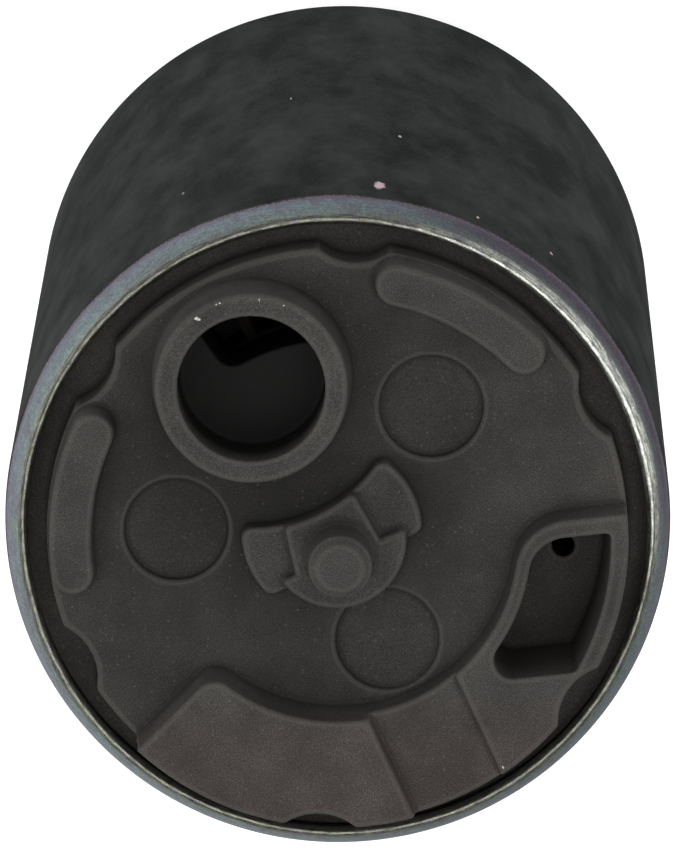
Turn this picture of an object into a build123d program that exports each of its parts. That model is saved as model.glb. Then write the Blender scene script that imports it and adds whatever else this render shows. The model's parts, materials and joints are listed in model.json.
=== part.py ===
from build123d import *
import math
import os

# In-tank fuel pump, in millimetres. The axis is Z and the inlet end is up. Z = 0 is the
# plane where the casing starts to roll inwards at the inlet end. "Depth" is a distance
# below that plane and "height" is one above it. An "inset" is measured inwards from the
# edge of the end cover's platform, so that what lies near the edge stays there.

# Clearances and overruns
fit_gap = 0.05  # end pieces and magnets in the casing
press_gap = 0.01  # pieces pressed on the shaft or into a seat
running_gap = 0.04  # shaft in its bushes, poppet stem in its guide
side_gap = 0.1  # impeller to the chamber's floor and roof
tip_gap = 0.15  # impeller rim to the chamber's wall
slide_gap = 0.1  # brush in its guide
rest_gap = 0.05  # a sprung piece to its stop
overrun = 1.0  # how far a cut runs past the surface that it opens
full_turn = 360.0  # degrees

# Casing: a drawn steel tube, counterbored and rolled over at both ends
casing_radius = 19.0
casing_length = 60.0  # full-diameter length
casing_wall = 1.5
end_wall = 0.9  # what the counterbore leaves
roll_height = 2.75
roll_inset = 1.07
roll_edge = 0.45  # thickness at the cut edge
roll_seat = 0.8  # how far below the bend the inner face starts to close in
roll_rounding = 0.12

# Inlet cover: a die casting
ledge_height = 0.93  # top of the flange that the casing is rolled over
platform_margin = 2.5  # from the casing's outside to the platform's edge
web_height = 3.85  # the platform's plain face
cover_depth = 2.5  # the face that meets the pump housing
platform_rounding = 0.3
edge_rounding = 0.22
draft = 4.0  # degrees, on every raised wall

notch_count = 6
notch_first = 26.6  # degrees
notch_spread = 11.46  # degrees, its radius seen from the axis
notch_bite_share = 0.25  # how deep it is, of its radius
notch_rounding = 0.4

pad_height = 2.0
pad_width = 2.6
pad_inset = 1.4  # to the pad's middle line
pad_span = 31.4  # degrees between the centres of its round ends
pad_starts = (156.0, 45.6)

boss_inset = 6.21
boss_angle = 117.81
boss_radius = 5.42
boss_base_radius = 5.74
boss_rise = 3.4  # above the web
bore_radius = 4.18
bore_floor = 4.65  # below the boss's rim
port_ledge = 0.35  # what the bore's floor leaves all round the port
port_rounding = 1.1

mark_radius = 2.95
mark_depth = 0.55
mark_edge = 0.14
mark_places = ((7.41, 54.03), (7.35, 178.75), (9.68, -65.39))  # inset, angle

# The raised sector over the pump channel, with its pocket
sector_inset = 6.45
sector_start = -134.2  # degrees, its left wall
sector_end = 6.3  # degrees, the wall beyond the pocket
sector_corners = (1.4, 3.3)  # left and right inner corners
main_rise = 3.2
channel_rise = 2.0
frame_rise = 2.4
gutter_angle = 294.6  # degrees, the flat gutter that crosses the sector
gutter_left = 2.4
gutter_right = 2.7
pocket_rim = 1.0  # inset of the pocket's outer wall
pocket_reach = 4.5  # from its inner to its outer wall
pocket_top = 1.15  # from the sector's end wall
pocket_sweep = 54.9  # degrees from the sector's end to the low side, at the inner wall
pocket_depth = 6.5
pocket_draft = 2.0
pocket_corners = (1.1, 0.4, 2.2, 0.25)  # low inner, low outer, high inner, high outer
vent_radius = 0.65
vent_angle = -7.4

# Centre pad and strainer pin
lobe_radius = 5.2
lobe_x = -0.3
lobe_y = 0.3
lobe_rise = 1.25
lobe_tuck = 0.9  # how far the lobes run on under the plate
lobe_corner = 0.7
plate_radius = 4.05
plate_rise = 2.1
plate_turn = 23.6  # degrees, the line that parts plate and lobes
arm_start = -77.7  # degrees seen from the boss, where the plate's arm meets the relief
arm_end = -47.6
arm_foot = ((3.0, -1.0), (0.2, -3.0), (-2.1, -3.0))  # its lower corners, under the plate
relief_clearance = 2.58  # from the pin's axis to the circle that the boss clears
pad_corner = 0.35
pin_x = 0.2
pin_y = -0.73
pin_radius = 1.8
pin_base_radius = 2.0
pin_flare = 0.5  # height of the flared foot
pin_height = 3.15
pin_tip_radius = 1.3
pin_tip = 0.5

# Pump stage
chamber_wall = 2.75  # from the housing's outside to the chamber
channel_inset = 2.15  # from the impeller's rim to the middle of the side channel
channel_width = 4.0
channel_depth = 1.3
port_start = 98.0  # degrees, the inlet port's open end
port_end = 124.5  # degrees, the inlet port's wall
channel_end = 158.0  # degrees, where the channel stops
outlet_port_start = 160.0
outlet_port_end = 176.0
impeller_thickness = 3.6
impeller_rim = 0.75
vane_count = 31
vane_length = 3.2
vane_thickness = 0.7
housing_floor = 3.9
bearing_length = 6.0
bearing_wall = 2.0
bearing_boss_wall = 2.2
bearing_drop = 3.0  # how far the bearing boss hangs below the housing's floor

# Rotor
shaft_radius = 2.0
shaft_flat = 1.4  # distance of the driving flat from the axis
shaft_chamfer = 0.25
shaft_top_depth = 1.55
shaft_end_gap = 0.25  # the shaft ends this far inside the outlet bush
thrust_radius = 2.6
thrust_thickness = 1.0
air_gap = 0.55
core_depth = 17.0
slot_count = 8
tooth_width = 3.2
tooth_tip = 1.4
slot_depth = 4.8  # from under the tooth tips to the back iron
slot_mouth = 1.6
insulator_thickness = 0.5
winding_overhang = 2.4
winding_gap = 0.15
winding_depth = 6.0  # of the end turns, from their outside inwards
winding_rim_gap = 1.2  # from the end turns to the core's outside
winding_rounding = 0.8
commutator_gap = 0.6
commutator_base_thickness = 2.4
commutator_margin = 0.4  # from the brush to the commutator's edge
segment_thickness = 2.0
segment_inner = 3.6
segment_split = 0.6

# Magnets
magnet_thickness = 5.1
magnet_overhang = 3.0  # past the core, at either end
magnet_span = 138.0
clip_thickness = 0.6
clip_span = 34.0
clip_leg = 3.6

# Brush gear
outlet_bush_wall = 1.33
brush_wall = 0.85  # walls of the brush guides and of the bush tube
brush_width = 3.6
brush_breadth = 5.0
brush_length = 7.5
brush_corner = 0.3
brush_guide_lead = 1.6  # how far the guide's mouth is behind the brush's face
brush_spring_room = 6.38
brush_stand_off = 0.73  # from the bush tube to the brush guide's wall
brush_coil_radius = 1.35
brush_wire = 0.22
brush_turns = 6
lead_radius = 0.4
plate_thickness = 0.5
plate_width = 2.4
choke_x = 4.6
choke_core_radius = 1.1
choke_wire = 0.45
choke_turns = 7
choke_length = 9.0
choke_wall = 0.8

# Outlet cap: a moulding
skirt_length = 9.0  # from the casing's bend up to its inner shoulder
skirt_wall = 2.0
cap_floor = 2.6  # thickness of the floor below the brush pockets
cap_rise = 3.0  # the cap's outer face, beyond its ledge
cap_rounding = 0.6
bush_height = 11.18  # from the cap's floor to the top of the bush
seal_radius = 0.6
seal_depth = 4.5  # from the cap's ledge
nipple_inset = 8.1
nipple_radius = 3.7
nipple_barb = 0.5
nipple_length = 16.0
nipple_bore = 2.6
nipple_base_radius = 5.6
nipple_base_rise = 2.0
barb_count = 3
barb_pitch = 3.2
barb_crest = 0.35
gusset_count = 4
gusset_reach = 2.2  # past the nipple's foot
gusset_height = 4.4
gusset_thickness = 1.1
terminal_inset = 2.9
terminal_to_choke = 2.7
terminal_width = 4.75
terminal_thickness = 0.8
terminal_length = 8.5
terminal_point = 1.2
terminal_tag = 1.0  # thickness of the tag over the choke
plinth_wall = 0.9  # round each terminal's foot
plinth_rise = 1.2
divider_rise = 4.5  # the wall between the terminals
divider_thickness = 1.2
divider_depth = 4.0

# Check valve in the nipple
check_seat_radius = 1.7
check_seat_thickness = 1.4
check_head_radius = 2.15
check_head_thickness = 1.2
check_stem_radius = 0.8
check_stem_length = 10.0
check_guide_thickness = 1.5
check_guide_depth = 10.2  # from the seat to the guide
guide_window_count = 3
guide_window_length = 1.6
guide_window_width = 0.9
check_coil_radius = 1.45
check_wire = 0.2
check_turns = 6

# Relief valve beside the nipple
relief_inset = 4.3
relief_angle = 157.85
relief_ball = 1.75
relief_seat_radius = 1.1
relief_seat_thickness = 1.2
relief_seat_height = 5.2  # from the cap's ledge to the top of the valve's tube
relief_bore = 2.1
relief_wall = 1.1
relief_rise = 2.0
relief_plug = 1.5
relief_orifice = 0.8
relief_coil_radius = 1.3
relief_wire = 0.15
relief_turns = 5

# Worked-out radii
end_bore = casing_radius - end_wall
motor_bore = casing_radius - casing_wall
flange_radius = end_bore - fit_gap
platform_radius = casing_radius - platform_margin
notch_radius = platform_radius * math.radians(notch_spread)
notch_bite = notch_radius * notch_bite_share
bearing_bore = shaft_radius + running_gap
bearing_radius = bearing_bore + bearing_wall
outlet_bush_radius = bearing_bore + outlet_bush_wall
bush_tube_radius = outlet_bush_radius + brush_wall
chamber_radius = flange_radius - chamber_wall
impeller_radius = chamber_radius - tip_gap
vane_outer = impeller_radius - impeller_rim
vane_inner = vane_outer - vane_length
channel_radius = impeller_radius - channel_inset
channel_inner = channel_radius - channel_width / 2
channel_outer = channel_radius + channel_width / 2
sector_inner = platform_radius - sector_inset
pocket_outer = platform_radius - pocket_rim
pocket_inner = pocket_outer - pocket_reach
core_radius = motor_bore - fit_gap - magnet_thickness - air_gap
slot_root = core_radius - tooth_tip - slot_depth
winding_outer = core_radius - winding_rim_gap
winding_inner = winding_outer - winding_depth
brush_radius = bush_tube_radius + brush_stand_off + slide_gap + brush_width / 2
commutator_radius = brush_radius + brush_width / 2 + commutator_margin
choke_hole = choke_core_radius + 2 * choke_wire + slide_gap

# Worked-out levels, from the inlet end down to the core
boss_top = web_height + boss_rise
bore_bottom = boss_top - bore_floor
chamber_top = -cover_depth
impeller_top = chamber_top - side_gap
impeller_bottom = impeller_top - impeller_thickness
chamber_bottom = impeller_bottom - side_gap
housing_bottom = chamber_bottom - housing_floor
bearing_bottom = housing_bottom - bearing_drop
shaft_top = -shaft_top_depth
core_top = -core_depth

# Worked-out levels, from the outlet end up to the core, which fills what is left
outlet_bend = -casing_length
cap_ledge = outlet_bend - ledge_height
cap_face = cap_ledge - cap_rise
cap_shoulder = outlet_bend + skirt_length
pocket_floor = cap_face + cap_floor
plate_top = pocket_floor + plate_thickness
choke_top = plate_top + choke_length
brush_bottom = plate_top + brush_spring_room
brush_top = brush_bottom + brush_length
guide_top = brush_top - brush_guide_lead
bush_top = pocket_floor + bush_height
bush_bottom = bush_top - bearing_length
shaft_bottom = bush_bottom + shaft_end_gap
segment_bottom = brush_top + rest_gap
segment_top = segment_bottom + segment_thickness
commutator_top = segment_top + commutator_base_thickness
core_bottom = commutator_top + commutator_gap + winding_overhang + insulator_thickness
magnet_top = core_top + magnet_overhang
magnet_bottom = core_bottom - magnet_overhang
nipple_tip = cap_face - nipple_length
check_seat = pocket_floor - check_seat_thickness
check_guide_top = check_seat - check_guide_depth
relief_tube_top = cap_ledge + relief_seat_height
relief_seat = relief_tube_top - relief_seat_thickness
relief_mouth = cap_face - relief_rise

# Worked-out places in the plan
nipple_y = platform_radius - nipple_inset
terminal_y = terminal_inset - platform_radius
choke_y = terminal_y + terminal_to_choke
far = 3 * casing_radius  # past every edge of the plan

# The inner face of the roll, as two points of its half section
roll_lean = math.atan2(roll_height, roll_height**2 / (2 * roll_inset) - roll_inset / 2)
roll_tip = (casing_radius - roll_inset, roll_height)
roll_inner = (
    roll_tip[0] - roll_edge * math.cos(roll_lean),
    roll_height - roll_edge * math.sin(roll_lean),
)
roll_foot = (end_bore, -roll_seat)


def roll_radius(height):
    """Radius of the roll's inner face at a height above the bend."""
    share = (height - roll_foot[1]) / (roll_inner[1] - roll_foot[1])
    return roll_foot[0] + share * (roll_inner[0] - roll_foot[0])


def polar(radius, angle):
    """A point of the plan, from its radius and its angle in degrees."""
    turn = math.radians(angle)
    return (radius * math.cos(turn), radius * math.sin(turn))


boss_x, boss_y = polar(platform_radius - boss_inset, boss_angle)
boss_relief = math.hypot(boss_x - pin_x, boss_y - pin_y) - relief_clearance
relief_x, relief_y = polar(platform_radius - relief_inset, relief_angle)


def prism(outline, low, high):
    """An upright solid with the given outline."""
    return extrude(Pos(0, 0, low) * outline, amount=high - low)


def rod(radius, low, high, x=0.0, y=0.0):
    """An upright cylinder."""
    return prism(Pos(x, y) * Circle(radius), low, high)


def tube(outer, inner, low, high, x=0.0, y=0.0):
    """An upright tube."""
    return prism(Pos(x, y) * ring(inner, outer), low, high)


def ring(inner, outer):
    """A flat ring."""
    return Circle(outer) - Circle(inner)


def spin(*points):
    """A solid of revolution from its half section, given as (radius, height) points."""
    return revolve(Plane.XZ * make_face(Polyline(*points, close=True)), Axis.Z)


def around(shape, count, first=0.0):
    """Copies of a shape round the axis, from a first angle on."""
    return [Rot(0, 0, first + full_turn * index / count) * shape for index in range(count)]


def half_plane(angle, offset, side):
    """The part of the plan on one side of a line at an angle, offset to its left."""
    strip = Rectangle(2 * far, far, align=(Align.CENTER, Align.MIN if side > 0 else Align.MAX))
    return Rot(0, 0, angle) * Pos(0, offset) * strip


def wedge(start, end):
    """The part of the plan between two angles, as a fan of three equal or more steps."""
    steps = max(3, math.ceil((end - start) / 30))
    rim = [polar(far, start + (end - start) * step / steps) for step in range(steps + 1)]
    return make_face(Polyline((0, 0), *rim, close=True))


def coil_spring(radius, wire, turns, low, high, x, y):
    """A helical spring of round wire between two levels."""
    span = high - low - 2 * wire
    path = Helix(pitch=span / turns, height=span, radius=radius)
    section = Plane(origin=path @ 0, z_dir=path % 0) * RegularPolygon(wire, 6)
    return Pos(x, y, low + wire) * sweep(section, path=path, is_frenet=True)


def casing():
    """A drawn tube, thinned inside at both ends and rolled in over the end pieces."""
    outlet_tip = (roll_tip[0], outlet_bend - roll_tip[1])
    outlet_inner = (roll_inner[0], outlet_bend - roll_inner[1])
    outlet_foot = (roll_foot[0], outlet_bend - roll_foot[1])
    outline = (
        Line((casing_radius, outlet_bend), (casing_radius, 0))
        + TangentArc((casing_radius, 0), roll_tip, tangent=(0, 1))
        + Polyline(
            roll_tip,
            roll_inner,
            roll_foot,
            (end_bore, housing_bottom),
            (motor_bore, housing_bottom),
            (motor_bore, cap_shoulder),
            (end_bore, cap_shoulder),
            outlet_foot,
            outlet_inner,
            outlet_tip,
        )
        + TangentArc((casing_radius, outlet_bend), outlet_tip, tangent=(0, -1))
    )
    shell = revolve(Plane.XZ * make_face(outline), Axis.Z)
    cut_edges = [
        edge
        for edge in shell.edges().filter_by(GeomType.CIRCLE)
        if edge.center().Z > roll_inner[1] - roll_rounding
        or edge.center().Z < outlet_inner[1] + roll_rounding
    ]
    return fillet(cut_edges, roll_rounding)


def land_outline():
    """The platform's outline: a circle with half-round notches round its edge."""
    centre = platform_radius - notch_bite + notch_radius
    land = Circle(platform_radius)
    for notch in around(Pos(centre, 0) * Circle(notch_radius), notch_count, notch_first):
        land -= notch
    return fillet(land.vertices(), notch_rounding)


def raised(outline, rise, land, lean=draft):
    """A pad on the web: drafted, rounded on top and cut to the platform's outline."""
    top = web_height + rise
    outline = Sketch() + [Face(face.outer_wire()) for face in outline.faces()]
    block = extrude(Pos(0, 0, web_height) * outline, amount=rise, taper=lean)
    block += prism(outline, ledge_height, web_height)
    block &= prism(land, ledge_height, top)
    return fillet(block.edges().group_by(Axis.Z)[-1], edge_rounding)


def sector_outline():
    """The raised sector's outline, run past the platform's edge."""
    band = ring(sector_inner, casing_radius) & wedge(sector_start, sector_end)
    for angle, corner in zip((sector_start, sector_end), sector_corners):
        spot = (*polar(sector_inner, angle), 0)
        band = fillet(band.vertices().sort_by_distance(spot)[0], corner)
    return band


def sector(land):
    """The raised cover of the pump channel: main face, flat gutter and pocket frame."""
    whole = sector_outline()
    main = whole & half_plane(gutter_angle, -gutter_left, -1)
    frame = whole & half_plane(gutter_angle, gutter_right, 1)
    body = raised(whole, channel_rise, land)
    body += raised(main, main_rise, land)
    return body + raised(frame, frame_rise, land)


def pocket():
    """The deep pocket in the sector, with rounded corners and drafted walls."""
    low_side = pocket_inner * math.sin(math.radians(pocket_sweep))
    strip = Rectangle(2 * pocket_outer, low_side - pocket_top, align=(Align.MIN, Align.MAX))
    outline = Rot(0, 0, sector_end) * Pos(0, -pocket_top) * strip
    outline &= ring(pocket_inner, pocket_outer)
    walls = [(level, radius) for level in (low_side, pocket_top) for radius in (pocket_inner, pocket_outer)]
    for (level, radius), corner in zip(walls, pocket_corners):
        spot = Vector(math.sqrt(radius**2 - level**2), -level).rotate(Axis.Z, sector_end)
        vertex = outline.vertices().sort_by_distance((spot.X, spot.Y, 0))[0]
        outline = fillet(vertex, corner)
    top = Pos(0, 0, web_height + frame_rise) * outline
    return extrude(top, amount=pocket_depth, dir=(0, 0, -1), taper=pocket_draft)


def centre_pad(land):
    """Two low lobes and the higher plate that carries the strainer pin."""
    clear = Pos(boss_x, boss_y) * Circle(boss_relief)
    above = Pos(pin_x, pin_y) * half_plane(plate_turn, -lobe_tuck, 1)
    below = Pos(pin_x, pin_y) * half_plane(plate_turn, 0, -1)
    lobes = (Pos(lobe_x, lobe_y) * Circle(lobe_radius) & above) - clear
    lobes = fillet(lobes.vertices(), lobe_corner)
    half = Circle(plate_radius) & below
    half = fillet(half.vertices(), pad_corner)
    meeting = CenterArc((boss_x, boss_y), boss_relief, arm_start, arm_end - arm_start)
    arm = make_face(meeting + Polyline(meeting @ 1, *arm_foot, meeting @ 0))
    arm = fillet(arm.vertices(), pad_corner)
    pad = raised(lobes, lobe_rise, land) + raised(half, plate_rise, land)
    return pad + raised(arm, plate_rise, land, lean=0)


def strainer_pin():
    """The pin that a strainer's clip is pushed on."""
    base = web_height + plate_rise
    shoulder = base + pin_height
    pin = spin(
        (0, web_height),
        (pin_base_radius, web_height),
        (pin_base_radius, base),
        (pin_radius, base + pin_flare),
        (pin_radius, shoulder),
        (pin_tip_radius, shoulder + pin_tip),
        (0, shoulder + pin_tip),
    )
    return Pos(pin_x, pin_y) * pin


def round_mark(inset, angle):
    """The cut of an ejector pin's round mark, with a softened edge."""
    x, y = polar(platform_radius - inset, angle)
    cut = spin(
        (0, web_height - mark_depth),
        (mark_radius, web_height - mark_depth),
        (mark_radius, web_height - mark_edge),
        (mark_radius + mark_edge, web_height),
        (mark_radius + mark_edge, web_height + overrun),
        (0, web_height + overrun),
    )
    return Pos(x, y) * cut


def side_channel(face, up):
    """The groove beside the impeller's vanes, from the inlet port round to its end."""
    half = channel_width / 2
    round_radius = (half**2 + channel_depth**2) / (2 * channel_depth)
    centre = face + up * (channel_depth - round_radius)
    groove = revolve(Plane.XZ * (Pos(channel_radius, centre) * Circle(round_radius)), Axis.Z)
    turns = wedge(channel_end, port_start + full_turn)
    return groove & prism(turns, face - round_radius, face + round_radius)


def inlet_port():
    """The outline of the window in the bore's floor, over the start of the channel."""
    port = Pos(boss_x, boss_y) * Circle(bore_radius - port_ledge)
    port &= ring(channel_inner, channel_outer)
    port &= wedge(0, port_end)
    corner = port.vertices().sort_by_distance((*polar(channel_inner, port_end), 0))[0]
    return fillet(corner, port_rounding)


def inlet_cover():
    """The die-cast cover: flange, platform, raised features, ports and channel."""
    land = land_outline()
    flange = spin(
        (0, chamber_top),
        (flange_radius, chamber_top),
        (flange_radius, roll_foot[1]),
        (roll_radius(ledge_height) - fit_gap, ledge_height),
        (0, ledge_height),
    )
    platform = prism(land, chamber_top, web_height)
    body = flange + fillet(platform.edges().group_by(Axis.Z)[-1], platform_rounding)
    for inset, angle in mark_places:
        body -= round_mark(inset, angle)
    for start in pad_starts:
        middle_line = CenterArc((0, 0), platform_radius - pad_inset, start, pad_span)
        pad = raised(SlotArc(middle_line, pad_width), pad_height, Circle(casing_radius))
        body += pad & prism(land, ledge_height, web_height + pad_height)
    body += sector(land)
    body += centre_pad(land)
    body += strainer_pin()
    boss = spin(
        (0, web_height - platform_rounding),
        (boss_base_radius, web_height - platform_rounding),
        (boss_base_radius, web_height),
        (boss_radius, boss_top),
        (0, boss_top),
    )
    body += Pos(boss_x, boss_y) * fillet(boss.edges().group_by(Axis.Z)[-1], edge_rounding)
    body -= rod(bore_radius, bore_bottom, boss_top + overrun, boss_x, boss_y)
    body -= prism(inlet_port(), chamber_top - overrun, bore_bottom + overrun)
    body -= pocket()
    body -= rod(vent_radius, chamber_top - overrun, web_height, *polar(channel_radius, vent_angle))
    body -= side_channel(chamber_top, 1)
    disc_top = shaft_top + rest_gap + thrust_thickness
    return body - rod(thrust_radius + press_gap, chamber_top - overrun, disc_top)


def pump_housing():
    """The lower half of the pump chamber, with the outlet port and the bearing boss."""
    boss = bearing_radius + bearing_boss_wall
    body = spin(
        (0, chamber_top),
        (flange_radius, chamber_top),
        (flange_radius, housing_bottom),
        (boss + bearing_boss_wall, housing_bottom),
        (boss, bearing_bottom),
        (0, bearing_bottom),
    )
    body -= rod(chamber_radius, chamber_bottom, chamber_top + overrun)
    body -= side_channel(chamber_bottom, -1)
    port = ring(channel_inner, channel_outer) & wedge(outlet_port_start, outlet_port_end)
    body -= prism(port, housing_bottom - overrun, chamber_bottom + overrun)
    bush_roof = bearing_bottom + bearing_length
    body -= rod(bearing_radius + press_gap, bearing_bottom - overrun, bush_roof)
    return body - rod(bearing_bore + tip_gap, bearing_bottom, chamber_top)


def impeller():
    """A thin wheel with a ring of through pockets, and a flatted hole for its drive."""
    step = full_turn / vane_count
    half_vane = math.degrees(vane_thickness / 2 / channel_radius)
    opening = ring(vane_inner, vane_outer) & wedge(half_vane, step - half_vane)
    disc = Circle(impeller_radius)
    for window in around(opening, vane_count):
        disc -= window
    bore = Circle(shaft_radius + press_gap) & half_plane(0, shaft_flat + press_gap, -1)
    return prism(disc - bore, impeller_bottom, impeller_top)


def rotor_shaft():
    """A ground shaft, flatted where it drives the impeller."""
    shaft = rod(shaft_radius, shaft_bottom, shaft_top)
    shaft = chamfer(shaft.edges().filter_by(GeomType.CIRCLE), shaft_chamfer)
    return shaft - prism(half_plane(0, shaft_flat, 1), impeller_bottom, shaft_top + overrun)


def thrust_disc():
    """The hard disc that takes the shaft's end load."""
    low = shaft_top + rest_gap
    return rod(thrust_radius, low, low + thrust_thickness - press_gap)


def bearing_inlet():
    """The sintered bush in the pump housing."""
    return tube(bearing_radius, bearing_bore, bearing_bottom, bearing_bottom + bearing_length)


def bearing_outlet():
    """The sintered bush in the outlet cap."""
    return tube(outlet_bush_radius, bearing_bore, bush_bottom, bush_top)


def slot_shape(margin):
    """One winding slot between two teeth, drawn on the X axis, set back by a margin."""
    half_step = math.pi / slot_count
    half_tooth = tooth_width / 2 + margin
    corners = []
    for radius in (slot_root + margin, core_radius - tooth_tip - margin):
        reach = radius * math.tan(half_step) - half_tooth / math.cos(half_step)
        corners.append((radius, max(reach, slot_mouth / 2 - margin)))
    (near, low), (far_end, high) = corners
    points = ((near, -low), (far_end, -high), (far_end, high), (near, low))
    return make_face(Polyline(*points, close=True))


def core_outline():
    """One lamination: eight teeth with hammer heads."""
    outline = Circle(core_radius)
    mouth = Pos(core_radius, 0) * Rectangle(2 * (tooth_tip + winding_gap), slot_mouth)
    for slot in around(slot_shape(0) + mouth, slot_count):
        outline -= slot
    return outline - Circle(shaft_radius + press_gap)


def armature_core():
    """The stack of laminations."""
    return prism(core_outline(), core_bottom, core_top)


def end_insulator(low):
    """A thin moulded spider that keeps the wire off the core's end."""
    outline = core_outline() & Circle(core_radius - tooth_tip / 2)
    return prism(outline, low, low + insulator_thickness)


def armature_windings():
    """The wire in the slots and its end turns, impregnated into one body."""
    top = core_top + insulator_thickness
    bottom = core_bottom - insulator_thickness
    upper = tube(winding_outer, winding_inner, top + press_gap, top + winding_overhang)
    lower = tube(winding_outer, winding_inner, bottom - winding_overhang, bottom - press_gap)
    wire = fillet(upper.edges().group_by(Axis.Z)[-1], winding_rounding)
    wire += fillet(lower.edges().group_by(Axis.Z)[0], winding_rounding)
    into_end_turns = winding_overhang / 2
    for slot in around(slot_shape(winding_gap), slot_count):
        wire += prism(slot, bottom - into_end_turns, top + into_end_turns)
    return wire


def commutator_base():
    """The moulded carrier of the commutator's segments."""
    return tube(commutator_radius, shaft_radius + press_gap, segment_top, commutator_top)


def commutator_segments():
    """Flat segments on the carrier's face, parted by slots."""
    face = ring(segment_inner, commutator_radius)
    cut = Pos(commutator_radius, 0) * Rectangle(2 * commutator_radius, segment_split)
    for split in around(cut, slot_count):
        face -= split
    return prism(face, segment_bottom, segment_top)


def magnet(turn):
    """One ferrite arc magnet."""
    outer = motor_bore - fit_gap
    arc = ring(outer - magnet_thickness, outer)
    arc &= wedge(turn - magnet_span / 2, turn + magnet_span / 2)
    return prism(arc, magnet_bottom, magnet_top)


def magnet_clip(turn):
    """A bent spring strip that pushes the two magnets apart."""
    outer = motor_bore - fit_gap
    first = turn - clip_span / 2
    last = turn + clip_span / 2
    leg_span = math.degrees(clip_thickness / outer)
    legs = ring(outer - clip_leg, outer)
    strip = ring(outer - clip_thickness, outer) & wedge(first, last)
    strip += legs & wedge(first, first + leg_span)
    strip += legs & wedge(last - leg_span, last)
    return prism(strip, magnet_bottom, magnet_top)


def brush_box(side, margin, low, high):
    """The space of a brush, with a margin all round."""
    outline = Rectangle(brush_width + 2 * margin, brush_breadth + 2 * margin)
    return prism(Pos(side * brush_radius, 0) * outline, low, high)


def brush(side):
    """A carbon brush that bears on the commutator's face."""
    body = brush_box(side, 0, brush_bottom, brush_top)
    return chamfer(body.edges().filter_by(Axis.Z), brush_corner)


def brush_spring(side):
    """The coil spring behind a brush."""
    low = plate_top + rest_gap
    high = brush_bottom - rest_gap
    return coil_spring(brush_coil_radius, brush_wire, brush_turns, low, high, side * brush_radius, 0)


def brush_lead(side):
    """The copper braid from the brush down through its spring."""
    return rod(lead_radius, plate_top, brush_bottom - press_gap, side * brush_radius, 0)


def brush_plate_outline(side):
    """The plan of a brush plate, from under the brush to under the choke."""
    start = Vector(side * brush_radius, 0)
    span = Vector(side * choke_x, choke_y) - start
    angle = math.degrees(math.atan2(span.Y, span.X))
    middle = start + span / 2
    return Pos(middle.X, middle.Y) * Rot(0, 0, angle) * SlotCenterToCenter(span.length, plate_width)


def brush_plate(side):
    """A stamped strip that joins the brush's lead to the choke's foot."""
    return prism(brush_plate_outline(side), pocket_floor, plate_top)


def choke_core(side):
    """The ferrite rod of a choke."""
    return rod(choke_core_radius, plate_top + press_gap, choke_top, side * choke_x, choke_y)


def choke_coil(side):
    """The winding of a choke."""
    radius = choke_core_radius + choke_wire + press_gap
    low = plate_top + press_gap
    high = choke_top - press_gap
    return coil_spring(radius, choke_wire, choke_turns, low, high, side * choke_x, choke_y)


def terminal(side):
    """A stamped blade: the tab outside, a leg through the cap and a tag over the choke."""
    x = side * choke_x
    blade = Rectangle(terminal_width, terminal_thickness)
    body = prism(Pos(x, terminal_y) * blade, cap_face - terminal_length, pocket_floor)
    ends = body.edges().group_by(Axis.Z)[0].filter_by(Axis.Y)
    body = chamfer(ends, terminal_point)
    leg = Rectangle(terminal_width / 2, terminal_thickness)
    body += prism(Pos(x, terminal_y) * leg, cap_face, choke_top + terminal_tag)
    foot = terminal_y - terminal_thickness / 2
    reach = choke_y + choke_core_radius - foot
    tag = Rectangle(terminal_width / 2, reach, align=(Align.CENTER, Align.MIN))
    return body + prism(Pos(x, foot) * tag, choke_top, choke_top + terminal_tag)


def nipple():
    """The outlet nipple: a foot, three barbs with narrow crests, and gussets at the foot."""
    crest = nipple_radius + nipple_barb
    points = [(0, cap_face), (nipple_radius, cap_face)]
    for index in range(barb_count):
        low = nipple_tip + barb_pitch * (barb_count - 1 - index)
        high = low + barb_pitch
        points += [(nipple_radius, high), (crest, high), (crest, high - barb_crest)]
        points.append((nipple_radius - nipple_barb / 2, low))
    body = spin(*points, (0, nipple_tip))
    body += spin(
        (0, cap_face),
        (nipple_base_radius, cap_face),
        (nipple_base_radius - nipple_barb, cap_face - nipple_base_rise),
        (0, cap_face - nipple_base_rise),
    )
    rib = Polyline(
        (0, cap_face),
        (nipple_base_radius + gusset_reach, cap_face),
        (nipple_radius, cap_face - gusset_height),
        (0, cap_face - gusset_height),
        close=True,
    )
    gusset = extrude(Plane.XZ * make_face(rib), amount=gusset_thickness / 2, both=True)
    for copy in around(gusset, gusset_count, full_turn / gusset_count / 2):
        body += copy
    return Pos(0, nipple_y) * body


def terminal_foot(side):
    """The moulded plinth round a terminal's foot."""
    width = terminal_width + 2 * plinth_wall
    depth = terminal_thickness + 2 * plinth_wall
    outline = RectangleRounded(width, depth, plinth_wall / 2)
    return prism(Pos(side * choke_x, terminal_y) * outline, cap_face - plinth_rise, cap_face)


def terminal_room(side):
    """The slot that a terminal's blade and leg are pressed into."""
    x = side * choke_x
    thickness = terminal_thickness + 2 * press_gap
    slot = Rectangle(terminal_width + 2 * press_gap, thickness)
    leg = Rectangle(terminal_width / 2 + 2 * press_gap, thickness)
    room = prism(Pos(x, terminal_y) * slot, cap_face - plinth_rise - overrun, pocket_floor)
    return room + prism(Pos(x, terminal_y) * leg, cap_face, choke_top + overrun)


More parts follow.
